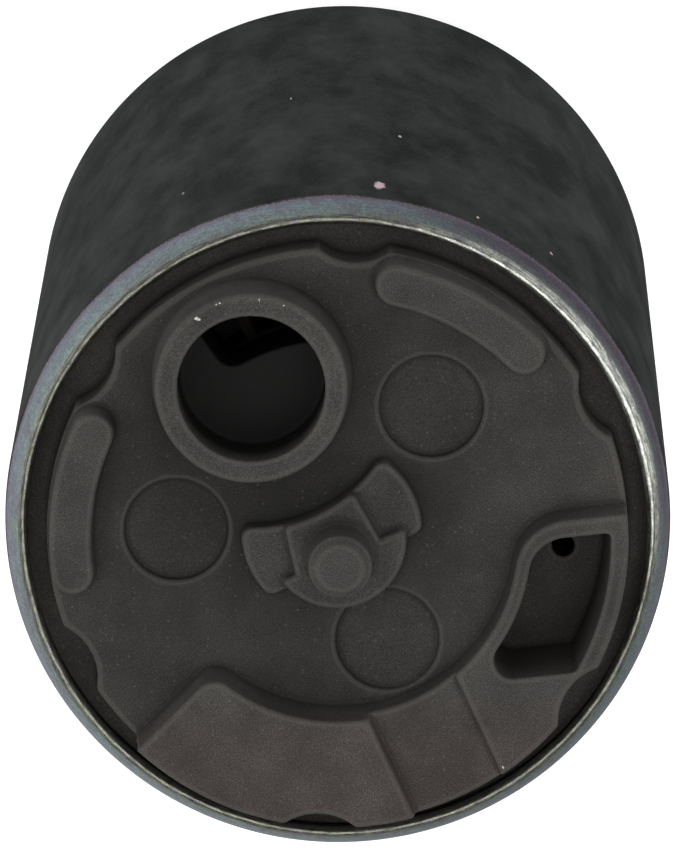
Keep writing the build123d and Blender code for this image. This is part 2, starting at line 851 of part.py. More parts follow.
def outlet_cap():
    """The moulded end: skirt, floor, brush guides, bush tube, nipple and valve seats."""
    body = spin(
        (0, pocket_floor),
        (flange_radius - skirt_wall, pocket_floor),
        (flange_radius - skirt_wall, cap_shoulder),
        (flange_radius, cap_shoulder),
        (flange_radius, outlet_bend + roll_seat),
        (roll_radius(ledge_height) - fit_gap, cap_ledge),
        (platform_radius, cap_ledge),
        (platform_radius, cap_face),
        (0, cap_face),
    )
    body = fillet(body.edges().group_by(Axis.Z)[0], cap_rounding)
    body += rod(bush_tube_radius, pocket_floor, bush_top)
    body += rod(relief_bore + relief_wall, relief_mouth, relief_tube_top, relief_x, relief_y)
    divider = Pos(0, terminal_y) * Rectangle(divider_thickness, divider_depth)
    body += prism(divider & Circle(platform_radius - cap_rounding), cap_face - divider_rise, cap_face)
    body += nipple()
    for side in (-1, 1):
        body += brush_box(side, slide_gap + brush_wall, pocket_floor, guide_top)
        body += rod(choke_hole + choke_wall, pocket_floor, choke_top, side * choke_x, choke_y)
        body += terminal_foot(side)
    for side in (-1, 1):
        body -= brush_box(side, slide_gap, pocket_floor, guide_top + overrun)
        body -= rod(choke_hole, pocket_floor, choke_top + overrun, side * choke_x, choke_y)
        plate_room = offset(brush_plate_outline(side), slide_gap)
        body -= prism(plate_room, pocket_floor, plate_top + slide_gap)
        body -= terminal_room(side)
    body -= rod(outlet_bush_radius + press_gap, bush_bottom, bush_top + overrun)
    body -= rod(shaft_radius + slide_gap, bush_bottom - overrun, bush_top)
    body -= rod(check_seat_radius, check_seat - overrun, pocket_floor + overrun, 0, nipple_y)
    body -= rod(nipple_bore, nipple_tip - overrun, check_seat, 0, nipple_y)
    body -= rod(relief_seat_radius, relief_seat - overrun, relief_tube_top + overrun, relief_x, relief_y)
    body -= rod(relief_bore, relief_mouth - overrun, relief_seat, relief_x, relief_y)
    return body - seal_groove()


def seal_groove():
    """The groove for the seal in the cap's skirt."""
    level = cap_ledge + seal_depth
    inner = flange_radius - 2 * seal_radius
    return tube(casing_radius, inner, level - seal_radius, level + seal_radius)


def cap_seal():
    """The rubber ring between the cap and the casing."""
    centre = (end_bore - press_gap - seal_radius, cap_ledge + seal_depth)
    return revolve(Plane.XZ * (Pos(*centre) * Circle(seal_radius - press_gap)), Axis.Z)


def check_valve_poppet():
    """The mushroom poppet that stops fuel running back."""
    top = check_seat - rest_gap
    head = top - check_head_thickness
    nose = top + check_seat_thickness / 2
    body = spin(
        (0, nose),
        (check_stem_radius, nose),
        (check_seat_radius - slide_gap, top),
        (check_head_radius, top),
        (check_head_radius, head),
        (check_stem_radius, head),
        (check_stem_radius, head - check_stem_length),
        (0, head - check_stem_length),
    )
    return Pos(0, nipple_y) * body


def check_valve_guide():
    """The pressed-in spider that guides the poppet's stem."""
    outline = ring(check_stem_radius + running_gap, nipple_bore - press_gap)
    middle = (nipple_bore + check_stem_radius) / 2
    window = Pos(middle, 0) * SlotOverall(guide_window_length, guide_window_width, rotation=90)
    for copy in around(window, guide_window_count):
        outline -= copy
    return Pos(0, nipple_y) * prism(outline, check_guide_top - check_guide_thickness, check_guide_top)


def check_valve_spring():
    """The light spring that closes the poppet."""
    low = check_guide_top + rest_gap
    high = check_seat - 2 * rest_gap - check_head_thickness
    return coil_spring(check_coil_radius, check_wire, check_turns, low, high, 0, nipple_y)


def relief_ball_centre():
    """The level of the relief ball's centre when it is on its seat."""
    return relief_seat - math.sqrt(relief_ball**2 - relief_seat_radius**2) - rest_gap


def relief_valve_ball():
    """The steel ball that lifts off when the pressure is too high."""
    return Pos(relief_x, relief_y, relief_ball_centre()) * Sphere(relief_ball)


def relief_valve_spring():
    """The spring that holds the ball on its seat."""
    reach = relief_ball + relief_wire + rest_gap
    drop = math.sqrt(reach**2 - relief_coil_radius**2)
    low = relief_mouth + relief_plug + rest_gap
    high = relief_ball_centre() - drop + relief_wire
    return coil_spring(relief_coil_radius, relief_wire, relief_turns, low, high, relief_x, relief_y)


def relief_valve_plug():
    """The drilled plug that holds the relief spring."""
    outer = relief_bore - press_gap
    return tube(outer, relief_orifice, relief_mouth, relief_mouth + relief_plug, relief_x, relief_y)


def pieces():
    """Every piece of the pump under its own name."""
    found = {
        "casing": casing(),
        "inlet_cover": inlet_cover(),
        "pump_housing": pump_housing(),
        "thrust_disc": thrust_disc(),
        "impeller": impeller(),
        "rotor_shaft": rotor_shaft(),
        "bearing_inlet": bearing_inlet(),
        "bearing_outlet": bearing_outlet(),
        "armature_core": armature_core(),
        "armature_windings": armature_windings(),
        "end_insulator_inlet": end_insulator(core_top),
        "end_insulator_outlet": end_insulator(core_bottom - insulator_thickness),
        "commutator_base": commutator_base(),
        "commutator_segments": commutator_segments(),
        "magnet_a": magnet(0),
        "magnet_b": magnet(180),
        "magnet_clip_a": magnet_clip(90),
        "magnet_clip_b": magnet_clip(270),
        "outlet_cap": outlet_cap(),
        "cap_seal": cap_seal(),
        "check_valve_poppet": check_valve_poppet(),
        "check_valve_guide": check_valve_guide(),
        "check_valve_spring": check_valve_spring(),
        "relief_valve_ball": relief_valve_ball(),
        "relief_valve_spring": relief_valve_spring(),
        "relief_valve_plug": relief_valve_plug(),
    }
    for letter, side in (("a", -1), ("b", 1)):
        found[f"brush_{letter}"] = brush(side)
        found[f"brush_spring_{letter}"] = brush_spring(side)
        found[f"brush_lead_{letter}"] = brush_lead(side)
        found[f"brush_plate_{letter}"] = brush_plate(side)
        found[f"choke_core_{letter}"] = choke_core(side)
        found[f"choke_coil_{letter}"] = choke_coil(side)
        found[f"terminal_{letter}"] = terminal(side)
    return found


os.makedirs("parts", exist_ok=True)
for name, piece in pieces().items():
    export_step(piece, f"parts/{name}.step")
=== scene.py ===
# %% [markdown]
# An electric fuel pump of the kind that hangs inside a car's tank: a black steel tube
# with a dark die-cast cover rolled into its open end. We look straight at that cover, so
# most of this lesson is about two finishes: a hard, dry, slightly sparkling casting, and
# the thin bright strip of plated steel where the black coat stops at the roll.
# The measured model comes first. Everything below is dressed onto it. Sizes are in
# millimetres where nothing else is said, and mm turns them into Blender's metres.

# %% The measured model
import json
import math

import bmesh
import bpy
import numpy as np
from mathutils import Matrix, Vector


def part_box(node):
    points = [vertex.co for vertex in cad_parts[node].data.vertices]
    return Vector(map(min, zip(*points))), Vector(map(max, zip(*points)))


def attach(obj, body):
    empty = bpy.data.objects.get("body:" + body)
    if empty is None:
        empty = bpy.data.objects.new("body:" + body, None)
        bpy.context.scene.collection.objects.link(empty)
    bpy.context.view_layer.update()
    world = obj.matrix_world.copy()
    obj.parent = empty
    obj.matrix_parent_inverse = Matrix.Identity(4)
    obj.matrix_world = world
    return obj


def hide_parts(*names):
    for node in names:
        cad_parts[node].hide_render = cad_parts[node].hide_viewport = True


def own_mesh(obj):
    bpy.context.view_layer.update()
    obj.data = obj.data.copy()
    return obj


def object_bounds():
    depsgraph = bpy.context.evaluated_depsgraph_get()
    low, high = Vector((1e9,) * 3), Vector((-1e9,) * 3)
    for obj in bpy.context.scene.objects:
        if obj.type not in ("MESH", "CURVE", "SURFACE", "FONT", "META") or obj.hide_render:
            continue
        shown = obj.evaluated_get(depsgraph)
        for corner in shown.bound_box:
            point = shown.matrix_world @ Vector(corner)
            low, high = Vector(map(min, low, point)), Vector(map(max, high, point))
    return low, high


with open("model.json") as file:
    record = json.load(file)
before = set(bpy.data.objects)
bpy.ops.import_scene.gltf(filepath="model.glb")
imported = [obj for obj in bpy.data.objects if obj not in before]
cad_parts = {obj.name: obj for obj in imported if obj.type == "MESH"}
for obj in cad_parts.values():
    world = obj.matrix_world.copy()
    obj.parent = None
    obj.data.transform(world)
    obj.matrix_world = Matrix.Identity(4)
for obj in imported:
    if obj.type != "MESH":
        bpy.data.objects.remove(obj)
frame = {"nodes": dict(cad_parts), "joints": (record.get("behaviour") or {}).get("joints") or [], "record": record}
cad_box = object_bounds()
mm = 0.001

# %% [markdown]
# Blender's node trees are easier to read when one call adds a node, sets it up, wires it
# and gives back its outputs. Colours are the hex values that a paint or plating looks
# like on screen, and one function turns them into the linear light that Cycles uses.

# %% A helper for nodes, one for colours and one for pattern sizes
def linear(code):
    """A colour such as "3a3836", as linear red, green, blue and alpha."""
    values = np.array([int(code[i:i + 2], 16) for i in (0, 2, 4)]) / 255
    light = np.where(values <= 0.04045, values / 12.92, ((values + 0.055) / 1.055) ** 2.4)
    return (*light.tolist(), 1.0)


def add_node(tree, kind, inputs=(), **settings):
    """Adds a shader node and returns its outputs. An input is a value or another's output."""
    node = tree.nodes.new("ShaderNode" + kind)
    for key, value in settings.items():
        setattr(node, key, value)
    for key, value in dict(inputs).items():
        if isinstance(value, bpy.types.NodeSocket):
            tree.links.new(value, node.inputs[key])
        else:
            node.inputs[key].default_value = value
    return node.outputs


def per(size):
    """The noise scale whose features are about so many millimetres across."""
    return 1 / (size * mm)


def start_material(name):
    """A material with no nodes yet but the place of each point on its object."""
    material = bpy.data.materials.new(name)
    material.use_nodes = True
    tree = material.node_tree
    tree.nodes.clear()
    return material, tree, add_node(tree, "TexCoord")["Object"]


print("white is", linear("ffffff"), "and a 2 mm pattern has a scale of", per(2))

# %% [markdown]
# Both outer finishes are chipped in a few places, where bare metal shows. A chip could be
# its own little mesh, but it has no thickness to see, so it is a mask: the distance to
# its middle, measured from a place that a fine noise pushes about, so its edge is torn.
# We look along Z, which shortens the tube's side, so the chips are drawn long that way.

# %% Chips
chip_grain = 0.2  # mm across, of the noise that tears the edge
chip_tear = 0.25  # mm that the noise moves a place, at most
chip_core = 0.6  # share of a chip's radius that is bare all through
chip_squeeze = 0.3  # what a millimetre along Z counts, against one along X or Y


def chips(tree, place, marks):
    """1 inside small chips and 0 elsewhere. A mark is x, y, z and radius in mm."""
    shorter = {0: place, 1: (1.0, 1.0, chip_squeeze)}
    squeezed = add_node(tree, "VectorMath", shorter, operation="MULTIPLY")[0]
    torn_wired = {"Vector": squeezed, "Scale": per(chip_grain), "Detail": 1.0}
    torn = add_node(tree, "TexNoise", torn_wired)["Color"]
    ragged = {0: torn, 1: (chip_tear * mm,) * 3, 2: squeezed}
    moved = add_node(tree, "VectorMath", ragged, operation="MULTIPLY_ADD")[0]
    shift = chip_tear / 2
    found = None
    for x, y, z, size in marks:
        middle = ((x + shift) * mm, (y + shift) * mm, (z * chip_squeeze + shift) * mm)
        away = add_node(tree, "VectorMath", {0: moved, 1: middle}, operation="DISTANCE")["Value"]
        reach = {"Value": away, "From Min": size * mm, "From Max": chip_core * size * mm}
        chip = add_node(tree, "MapRange", reach)["Result"]
        if found is not None:
            chip = add_node(tree, "Math", {0: found, 1: chip}, operation="MAXIMUM")[0]
        found = chip
    return found


print("chips are", round(1 / chip_squeeze, 1), "times as long as wide")

# %% [markdown]
# The camera comes before any finish, because every pattern is judged through it. The
# photograph was taken with a long lens from almost straight in front of the cover, a
# little above its axis: the tube's sides run back to a vanishing point far above the
# frame. Its distance follows from how much smaller the tube's far edge looks.

# %% The camera
view_distance = 571.4 * mm
view_tilt = math.radians(12.45)  # off the cover's axis, towards +Y
view_side = math.radians(2.1)  # and a little sideways
view_target = (-0.04 * mm, 5.2 * mm, -1.14 * mm)
picture_height = 850  # pixels
focal_pixels = 10000  # the lens, in the same pixels
film_height = 36.0  # mm
near_clip = 10 * mm
far_clip = 10.0


def look_along():
    """The camera's right, up and back directions, from its tilt and sideways turn."""
    right_z = -math.sin(view_tilt) * math.sin(view_side)
    up = np.array([0.0, math.cos(view_tilt), -math.sin(view_tilt)])
    right = np.array([1.0, right_z * math.tan(view_tilt), right_z])
    right /= np.linalg.norm(right)
    return right, up, np.cross(right, up)


def make_camera():
    """A camera with the photograph's lens, place and direction."""
    lens = bpy.data.cameras.new("camera")
    lens.sensor_fit = "VERTICAL"
    lens.sensor_height = film_height
    lens.lens = film_height * focal_pixels / picture_height
    lens.clip_start = near_clip
    lens.clip_end = far_clip
    camera = bpy.data.objects.new("camera", lens)
    bpy.context.scene.collection.objects.link(camera)
    right, up, back = look_along()
    matrix = np.eye(4)
    matrix[:3, 0] = right
    matrix[:3, 1] = up
    matrix[:3, 2] = back
    matrix[:3, 3] = np.array(view_target) + view_distance * back
    camera.matrix_world = matrix.T.tolist()
    return camera


bpy.context.scene.camera = make_camera()
bpy.context.scene.view_settings.view_transform = "Standard"
print("camera at", [round(v, 4) for v in bpy.context.scene.camera.location])

# %% [markdown]
# The casing is deep-drawn steel with a black electro-coat over zinc. The coat stops where
# the tube is gripped for rolling, so the rolled lip is bare plated steel. A second
# material for the lip would end in a sharp line, so one material covers both, and nearly
# all of it follows one measure: how far a point is past the bend, at either end.

# %% How far past the bend
roll_height = 2.75
casing_length = 60.0  # between the two bends
casing_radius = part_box("casing")[1][0] / mm


def casing_places(tree, place):
    """Millimetres past the nearer bend, the three axes, and the place across the tube."""
    axes = add_node(tree, "SeparateXYZ", {"Vector": place})
    above = add_node(tree, "Math", {0: axes["Z"], 1: 1 / mm}, operation="MULTIPLY")[0]
    half = casing_length / 2
    middle = add_node(tree, "Math", {0: above, 1: half}, operation="ADD")[0]
    outward = add_node(tree, "Math", {0: middle}, operation="ABSOLUTE")[0]
    past = add_node(tree, "Math", {0: outward, 1: half}, operation="SUBTRACT")[0]
    flat = add_node(tree, "CombineXYZ", {"X": axes["X"], "Y": axes["Y"]})["Vector"]
    return past, axes, flat


print("the casing is", round(2 * casing_radius, 2), "mm across")

# %% [markdown]
# The black gives way over half a millimetre, through a thin brown. Its edge is ragged: a
# noise of fine specks and a slow one move it up and down the lip together.

# %% Where the black gives way
coat_end = 0.5  # mm past the bend
coat_fringe = 0.55  # mm that it takes to give way
edge_wander = 0.7  # mm that the noises move the edge, at most, either way
speck_size = 0.16
wander_size = 4.0


def bare_share(tree, place, past):
    """0 on the coat and 1 past its ragged edge, and the specks that tear the edge."""
    speck_wired = {"Vector": place, "Scale": per(speck_size), "Detail": 3.0, "Roughness": 0.65}
    specks = add_node(tree, "TexNoise", speck_wired)["Fac"]
    broad_wired = {"Vector": place, "Scale": per(wander_size), "Detail": 2.0}
    broad = add_node(tree, "TexNoise", broad_wired)["Fac"]
    wander = add_node(tree, "Math", {0: specks, 1: broad}, operation="ADD")[0]
    moved = {0: wander, 1: edge_wander, 2: past}
    shifted = add_node(tree, "Math", moved, operation="MULTIPLY_ADD")[0]
    start = coat_end + edge_wander
    bare_range = {"Value": shifted, "From Min": start, "From Max": start + coat_fringe}
    bare = add_node(tree, "MapRange", bare_range, interpolation_type="SMOOTHSTEP")["Result"]
    return bare, specks


print("the coat ends", coat_end, "to", coat_end + coat_fringe, "mm past the bend")

# %% [markdown]
# The coat itself is matt and soft, greenish black with paler clouds and stains that are
# drawn out along the tube. Its grain is really finer than the camera sees, so it is drawn
# at 0.09 mm to show at all. The chips in it are pinkish: primer over bare zinc.

# %% The black coat
drawn_out = (1.0, 1.0, 0.4)  # patterns are longer along the tube, by the inverse of 0.4
cloud_size = 2.6
stain_size = 6.0
coat_grain = 0.09
flecks = (
    (2.4, 18.85, -2.7, 0.36),
    (3.5, 18.67, -18.4, 0.12),
    (8.0, 17.23, -1.4, 0.1),
    (12.2, 14.57, -4.3, 0.1),
    (-9.0, 16.73, -11.0, 0.08),
    (-3.0, 18.76, -30.0, 0.1),
)  # x, y, z and radius of each chip in the coat, in mm


def black_coat(tree, place):
    """The coat's colour, and the grain that also dents it."""
    drawn = add_node(tree, "VectorMath", {0: place, 1: drawn_out}, operation="MULTIPLY")[0]
    cloud_wired = {"Vector": drawn, "Scale": per(cloud_size), "Detail": 7.0, "Roughness": 0.7}
    clouds = add_node(tree, "TexNoise", cloud_wired)["Fac"]
    cloud_range = {"Value": clouds, "From Min": 0.34, "From Max": 0.7}
    cloudy = add_node(tree, "MapRange", cloud_range)["Result"]
    grain_wired = {"Vector": drawn, "Scale": per(coat_grain), "Detail": 2.0, "Roughness": 0.7}
    grain = add_node(tree, "TexNoise", grain_wired)["Fac"]
    stain_wired = {"Vector": drawn, "Scale": per(stain_size), "Detail": 3.0, "Roughness": 0.55}
    stains = add_node(tree, "TexNoise", stain_wired)["Fac"]
    stain_range = {"Value": stains, "From Min": 0.35, "From Max": 0.65, "To Min": -0.35, "To Max": 0.35}
    stained = add_node(tree, "MapRange", stain_range)["Result"]
    cloudy = add_node(tree, "Math", {0: cloudy, 1: stained}, operation="ADD", use_clamp=True)[0]
    coat_mix = {"Fac": cloudy, "Color1": linear("0f1514"), "Color2": linear("373a38")}
    coat = add_node(tree, "MixRGB", coat_mix)["Color"]
    grain_range = {"Value": grain, "From Min": 0.4, "From Max": 0.75, "To Max": 0.6}
    grainy = add_node(tree, "MapRange", grain_range)["Result"]
    grain_mix = {"Fac": grainy, "Color1": coat, "Color2": linear("3a3e3c")}
    coat = add_node(tree, "MixRGB", grain_mix)["Color"]
    chip_mix = {"Fac": chips(tree, place, flecks), "Color1": coat, "Color2": linear("cdb4ba")}
    return add_node(tree, "MixRGB", chip_mix)["Color"], grain


print(len(flecks), "chips in the coat")

# %% [markdown]
# Passivated zinc shows thin film colours, one after another up the lip: lilac-brown by
# the coat, then blue-grey, then grey-green. A reflection is painted over them by the side
# of the lip. On one side the film is painted darker and the crest nearly white, as a
# painted glint, and elsewhere the film is paler and the crest dull.

# %% Film colours, and a painted reflection and glint on the lip
glint_side_angle = math.radians(35)  # the side of the lip with the painted glint and the darker painted reflection
open_film_band = (0.8, 1.5)  # mm past the bend, from lilac to blue-grey
green_band = (1.6, 2.3)
crest_starts = (2.35, 2.1)  # mm past the bend, on the side away from the glint and on the glint side
crest_fade = 0.2


def film_colours_and_painted_glint(tree, past, flat):
    """The zinc's colour by its place on the lip, with a painted reflection by side, and 1 on the crest, which is
    painted bright on the glint side.
    """
    outwards = add_node(tree, "VectorMath", {0: flat}, operation="NORMALIZE")[0]
    facing = {0: outwards, 1: (math.cos(glint_side_angle), math.sin(glint_side_angle), 0.0)}
    side = add_node(tree, "VectorMath", facing, operation="DOT_PRODUCT")["Value"]
    glint_side_range = {"Value": side, "From Min": 0.66, "From Max": 0.95}
    glint_side = add_node(tree, "MapRange", glint_side_range, interpolation_type="SMOOTHSTEP")["Result"]

    low, high = open_film_band
    film_range = {"Value": past, "From Min": low, "From Max": high}
    film_band_and_bore_shade = add_node(tree, "MapRange", film_range, interpolation_type="SMOOTHSTEP")["Result"]
    # Painted reflection: the film is paler blue-grey away from the glint side and darker lilac on it.
    reflecting_film_mix = {"Fac": glint_side, "Color1": linear("929ea8"), "Color2": linear("726b78")}
    reflecting_film = add_node(tree, "MixRGB", reflecting_film_mix)["Color"]
    film_mix = {"Fac": film_band_and_bore_shade, "Color1": linear("85768a"), "Color2": reflecting_film}
    zinc = add_node(tree, "MixRGB", film_mix)["Color"]
    low, high = green_band
    green_range = {"Value": past, "From Min": low, "From Max": high, "To Max": 0.75}
    green = add_node(tree, "MapRange", green_range)["Result"]
    green_mix = {"Fac": green, "Color1": zinc, "Color2": linear("8f9f98")}
    zinc = add_node(tree, "MixRGB", green_mix)["Color"]

    # Painted glint: the crest is painted nearly white on the glint side, and dull elsewhere.
    dull, glinting = crest_starts
    crest_start = {"Value": glint_side, "To Min": dull, "To Max": glinting}
    crest_low = add_node(tree, "MapRange", crest_start)["Result"]
    above_crest = add_node(tree, "Math", {0: past, 1: crest_low}, operation="SUBTRACT")[0]
    crest_range = {"Value": above_crest, "From Max": crest_fade}
    crest = add_node(tree, "MapRange", crest_range, interpolation_type="SMOOTHSTEP")["Result"]
    crest_glint_mix = {"Fac": glint_side, "Color1": linear("7b7d70"), "Color2": linear("d2d6cc")}
    crest_glint_colour = add_node(tree, "MixRGB", crest_glint_mix)["Color"]
    zinc_mix = {"Fac": crest, "Color1": zinc, "Color2": crest_glint_colour}
    return add_node(tree, "MixRGB", zinc_mix)["Color"], crest


# The crest's painted glint runs from these heights to the edge of the lip.
print("the lip is polished from", crest_starts, "to", roll_height, "mm past the bend")

# %% [markdown]
# The roller leaves lines round the lip. They are a noise read at the point's radius and
# height, and more slowly at its angle, which draws it out into short fine lines that
# follow the lip. They are deepest on the crest. Lilac tints and small pits lie over them.

# %% Tool lines, tints and pits
line_size = 0.11  # the lines are finer, and are drawn this coarse so that they show
line_drift = 2.5  # mm that the noise moves on for each radian round the tube
line_depths = (0.9, 3.4)  # how strongly they show, on the side and on the crest
tint_size = 0.9


def tooled_zinc(tree, place, axes, radius, zinc, crest, specks):
    """The zinc's colour with its lines, tints and pits, and the lines, which also dent it."""
    angle = add_node(tree, "Math", {0: axes["Y"], 1: axes["X"]}, operation="ARCTAN2")[0]
    slow = add_node(tree, "Math", {0: angle, 1: line_drift * mm}, operation="MULTIPLY")[0]
    rings_place = add_node(tree, "CombineXYZ", {"X": radius, "Y": axes["Z"], "Z": slow})["Vector"]
    rings_wired = {"Vector": rings_place, "Scale": per(line_size), "Detail": 3.0, "Roughness": 0.6}
    rings = add_node(tree, "TexNoise", rings_wired)["Fac"]
    low, high = line_depths
    lined = add_node(tree, "MapRange", {"Value": crest, "To Min": low, "To Max": high})["Result"]
    ringed = add_node(tree, "Math", {0: rings, 1: -0.5}, operation="ADD")[0]
    gain = add_node(tree, "Math", {0: ringed, 1: lined, 2: 1.0}, operation="MULTIPLY_ADD")[0]
    zinc = add_node(tree, "VectorMath", {0: zinc, "Scale": gain}, operation="SCALE")[0]

    tint_wired = {"Vector": place, "Scale": per(tint_size), "Detail": 4.0, "Roughness": 0.7}
    tint = add_node(tree, "TexNoise", tint_wired)["Fac"]
    tint_range = {"Value": tint, "From Min": 0.48, "From Max": 0.66, "To Max": 0.6}
    tinted = add_node(tree, "MapRange", tint_range)["Result"]
    tint_mix = {"Fac": tinted, "Color1": zinc, "Color2": linear("857b8a")}
    zinc = add_node(tree, "MixRGB", tint_mix)["Color"]
    pitted_range = {"Value": specks, "From Min": 0.3, "From Max": 0.7, "To Min": 0.75, "To Max": 1.3}
    pitted = add_node(tree, "MapRange", pitted_range)["Result"]
    return add_node(tree, "VectorMath", {0: zinc, "Scale": pitted}, operation="SCALE")[0], rings


line_length = line_size / line_drift * casing_radius
print("a tool line is", round(line_length, 2), "mm long, and drawn", line_size, "mm wide")

# %% [markdown]
# The tube's inner face has no polish. It is dull, dirty steel, and the thin bright line
# of the lip would look twice as thick if it shone too. The lip is an arc, which falls
# away nearly as the square of its height, so how deep a point lies under the outer skin
# is a short sum.

# %% The dull inner face
lip_fall = 0.123  # the lip comes in by this times the square of its height
inner_band = (0.66, 0.85)  # mm under the outer skin, from bright to dull


def inner_face(tree, past, radius):
    """1 on the tube's inner face and 0 outside."""
    squared = add_node(tree, "Math", {0: past, 1: past}, operation="MULTIPLY")[0]
    falling = {0: squared, 1: -lip_fall, 2: casing_radius}
    skin = add_node(tree, "Math", falling, operation="MULTIPLY_ADD")[0]
    depth = add_node(tree, "Math", {0: radius, 1: -1 / mm, 2: skin}, operation="MULTIPLY_ADD")[0]
    low, high = inner_band
    return add_node(tree, "MapRange", {"Value": depth, "From Min": low, "From Max": high})["Result"]


print("the lip comes in by", round(lip_fall * roll_height**2, 2), "mm")

# %% [markdown]
# Now the layers go over each other: coat, brown edge, zinc, inner face. The same masks
# drive metallic and roughness, so the coat stays matt while the zinc mirrors the studio.

# %% Black electro-coat that ends in bare zinc plating
coat_roughness = 0.78
zinc_roughness = 0.4
coat_shine = 0.1
steel_dent = 0.02 * mm


def black_coated_steel():
    """Matt black coat with a fine grain, and bare film-coloured zinc past both bends, with a painted reflection
    and glint on the lip.
    """
    material, tree, place = start_material("black_coated_steel")
    past, axes, flat = casing_places(tree, place)
    radius = add_node(tree, "VectorMath", {0: flat}, operation="LENGTH")["Value"]
    bare, specks = bare_share(tree, place, past)
    coat, grain = black_coat(tree, place)
    zinc, crest = film_colours_and_painted_glint(tree, past, flat)
    zinc, rings = tooled_zinc(tree, place, axes, radius, zinc, crest, specks)
    inside = inner_face(tree, past, radius)

    brown_mix = {"Fac": bare, "Color1": coat, "Color2": linear("544a48")}
    brown = add_node(tree, "MixRGB", brown_mix)["Color"]
    late_range = {"Value": bare, "From Min": 0.45, "From Max": 1.0}
    late = add_node(tree, "MapRange", late_range)["Result"]
    colour = add_node(tree, "MixRGB", {"Fac": late, "Color1": brown, "Color2": zinc})["Color"]
    inner_mix = {"Fac": inside, "Color1": colour, "Color2": linear("3a3836")}
    colour = add_node(tree, "MixRGB", inner_mix)["Color"]
    outside = add_node(tree, "Math", {0: 1.0, 1: inside}, operation="SUBTRACT")[0]
    metal = add_node(tree, "Math", {0: late, 1: outside}, operation="MULTIPLY")[0]
    tooled = add_node(tree, "Math", {0: rings, 1: bare}, operation="MULTIPLY")[0]
    dents = add_node(tree, "Math", {0: tooled, 1: grain}, operation="ADD")[0]
    dent_wired = {"Height": dents, "Strength": 0.6, "Distance": steel_dent}
    rough_range = {"Value": metal, "To Min": coat_roughness, "To Max": zinc_roughness}
    surface_wired = {
        "Base Color": colour,
        "Metallic": metal,
        "Roughness": add_node(tree, "MapRange", rough_range)["Result"],
        "Normal": add_node(tree, "Bump", dent_wired)["Normal"],
        "Specular IOR Level": coat_shine,
    }
    surface = add_node(tree, "BsdfPrincipled", surface_wired)["BSDF"]
    add_node(tree, "OutputMaterial", {"Surface": surface})
    return material


coated_steel = black_coated_steel()
print("coated steel has", len(coated_steel.node_tree.nodes), "nodes")

# %% [markdown]
# The casing is a tube rolled over at both ends, so it is one closed profile carried round
# the axis. The profile is an arc that leaves the tube's side without a kink, a cut edge
# with its two corners worn round, and the straight inner face. All of its points are one
# array operation: every profile point times every angle. Nothing is looped over.

# %% Surfaces worked out as arrays
def closed_grid_mesh(name, points):
    """A mesh of quads from rows by columns of points, joined up both ways round."""
    rows, columns = points.shape[:2]
    index = np.arange(rows * columns).reshape(rows, columns)
    down = np.roll(index, -1, axis=0)
    across = np.roll(index, -1, axis=1)
    quads = np.stack([index, down, np.roll(down, -1, axis=1), across], axis=-1).reshape(-1, 4)
    mesh = bpy.data.meshes.new(name)
    mesh.vertices.add(rows * columns)
    mesh.vertices.foreach_set("co", points.reshape(-1).astype(np.float32))
    mesh.loops.add(quads.size)
    mesh.loops.foreach_set("vertex_index", quads.reshape(-1).astype(np.int32))
    mesh.polygons.add(len(quads))
    mesh.polygons.foreach_set("loop_start", np.arange(0, quads.size, 4, dtype=np.int32))
    mesh.update(calc_edges=True)
    mesh.validate()
    mesh.shade_smooth()
    return mesh


def arc(centre, radius, start, end, count):
    """Points on an arc in the profile's plane, between two angles in radians."""
    turn = np.linspace(start, end, count)
    return centre + radius * np.stack([np.cos(turn), np.sin(turn)], axis=-1)


def worn_corner(before, corner, after, radius, count=7):
    """The arc that touches both sides of a corner: its centre is on their bisector."""
    first = (before - corner) / np.linalg.norm(before - corner)
    second = (after - corner) / np.linalg.norm(after - corner)
    half = math.acos(float(first @ second)) / 2
    middle = (first + second) / np.linalg.norm(first + second)
    centre = corner + middle * radius / math.sin(half)
    start = corner + first * radius / math.tan(half) - centre
    end = corner + second * radius / math.tan(half) - centre
    turn = np.linspace(0, 1, count)[:, None]
    spread = start * (1 - turn) + end * turn
    return centre + radius * spread / np.linalg.norm(spread, axis=1, keepdims=True)


def add_piece(name, mesh, material, body, slot, *replaced):
    """Puts a finished mesh in the scene, on its body and in place of its CAD nodes."""
    piece = bpy.data.objects.new(name, mesh)
    bpy.context.scene.collection.objects.link(piece)
    mesh.materials.clear()
    mesh.materials.append(material)
    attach(piece, body)
    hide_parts(*replaced)
    return piece


# %% [markdown]
# A rolled lip is never quite round: the roller's pressure pulses. Three slow waves round
# it, which grow from nothing at the bend, break up the highlight as the real one is.

# %% The casing
bend_inset = 1.07  # how far the lip comes in from the tube's side
cut_thickness = 0.45
corner_wear = 0.2
tube_wall = 1.5
end_wall = 0.9  # where the ends are bored out
deep_bore = (13.2, 9.0)  # how far each end is bored out below its bend
inner_bend = 0.8  # where the inner face starts to lean in, below the bend
lip_steps = 30
side_steps = 60
side_margin = 1.0  # mm from each bend to the nearest of the side's steps
around_count = 650  # keeps the piece under 200,000 triangles
unevenness = 0.03  # mm, at the very edge of the lip
lip_waves = ((5, 0.4, 0.5), (12, 2, 0.3), (31, 0, 0.2))  # waves round, phase, share


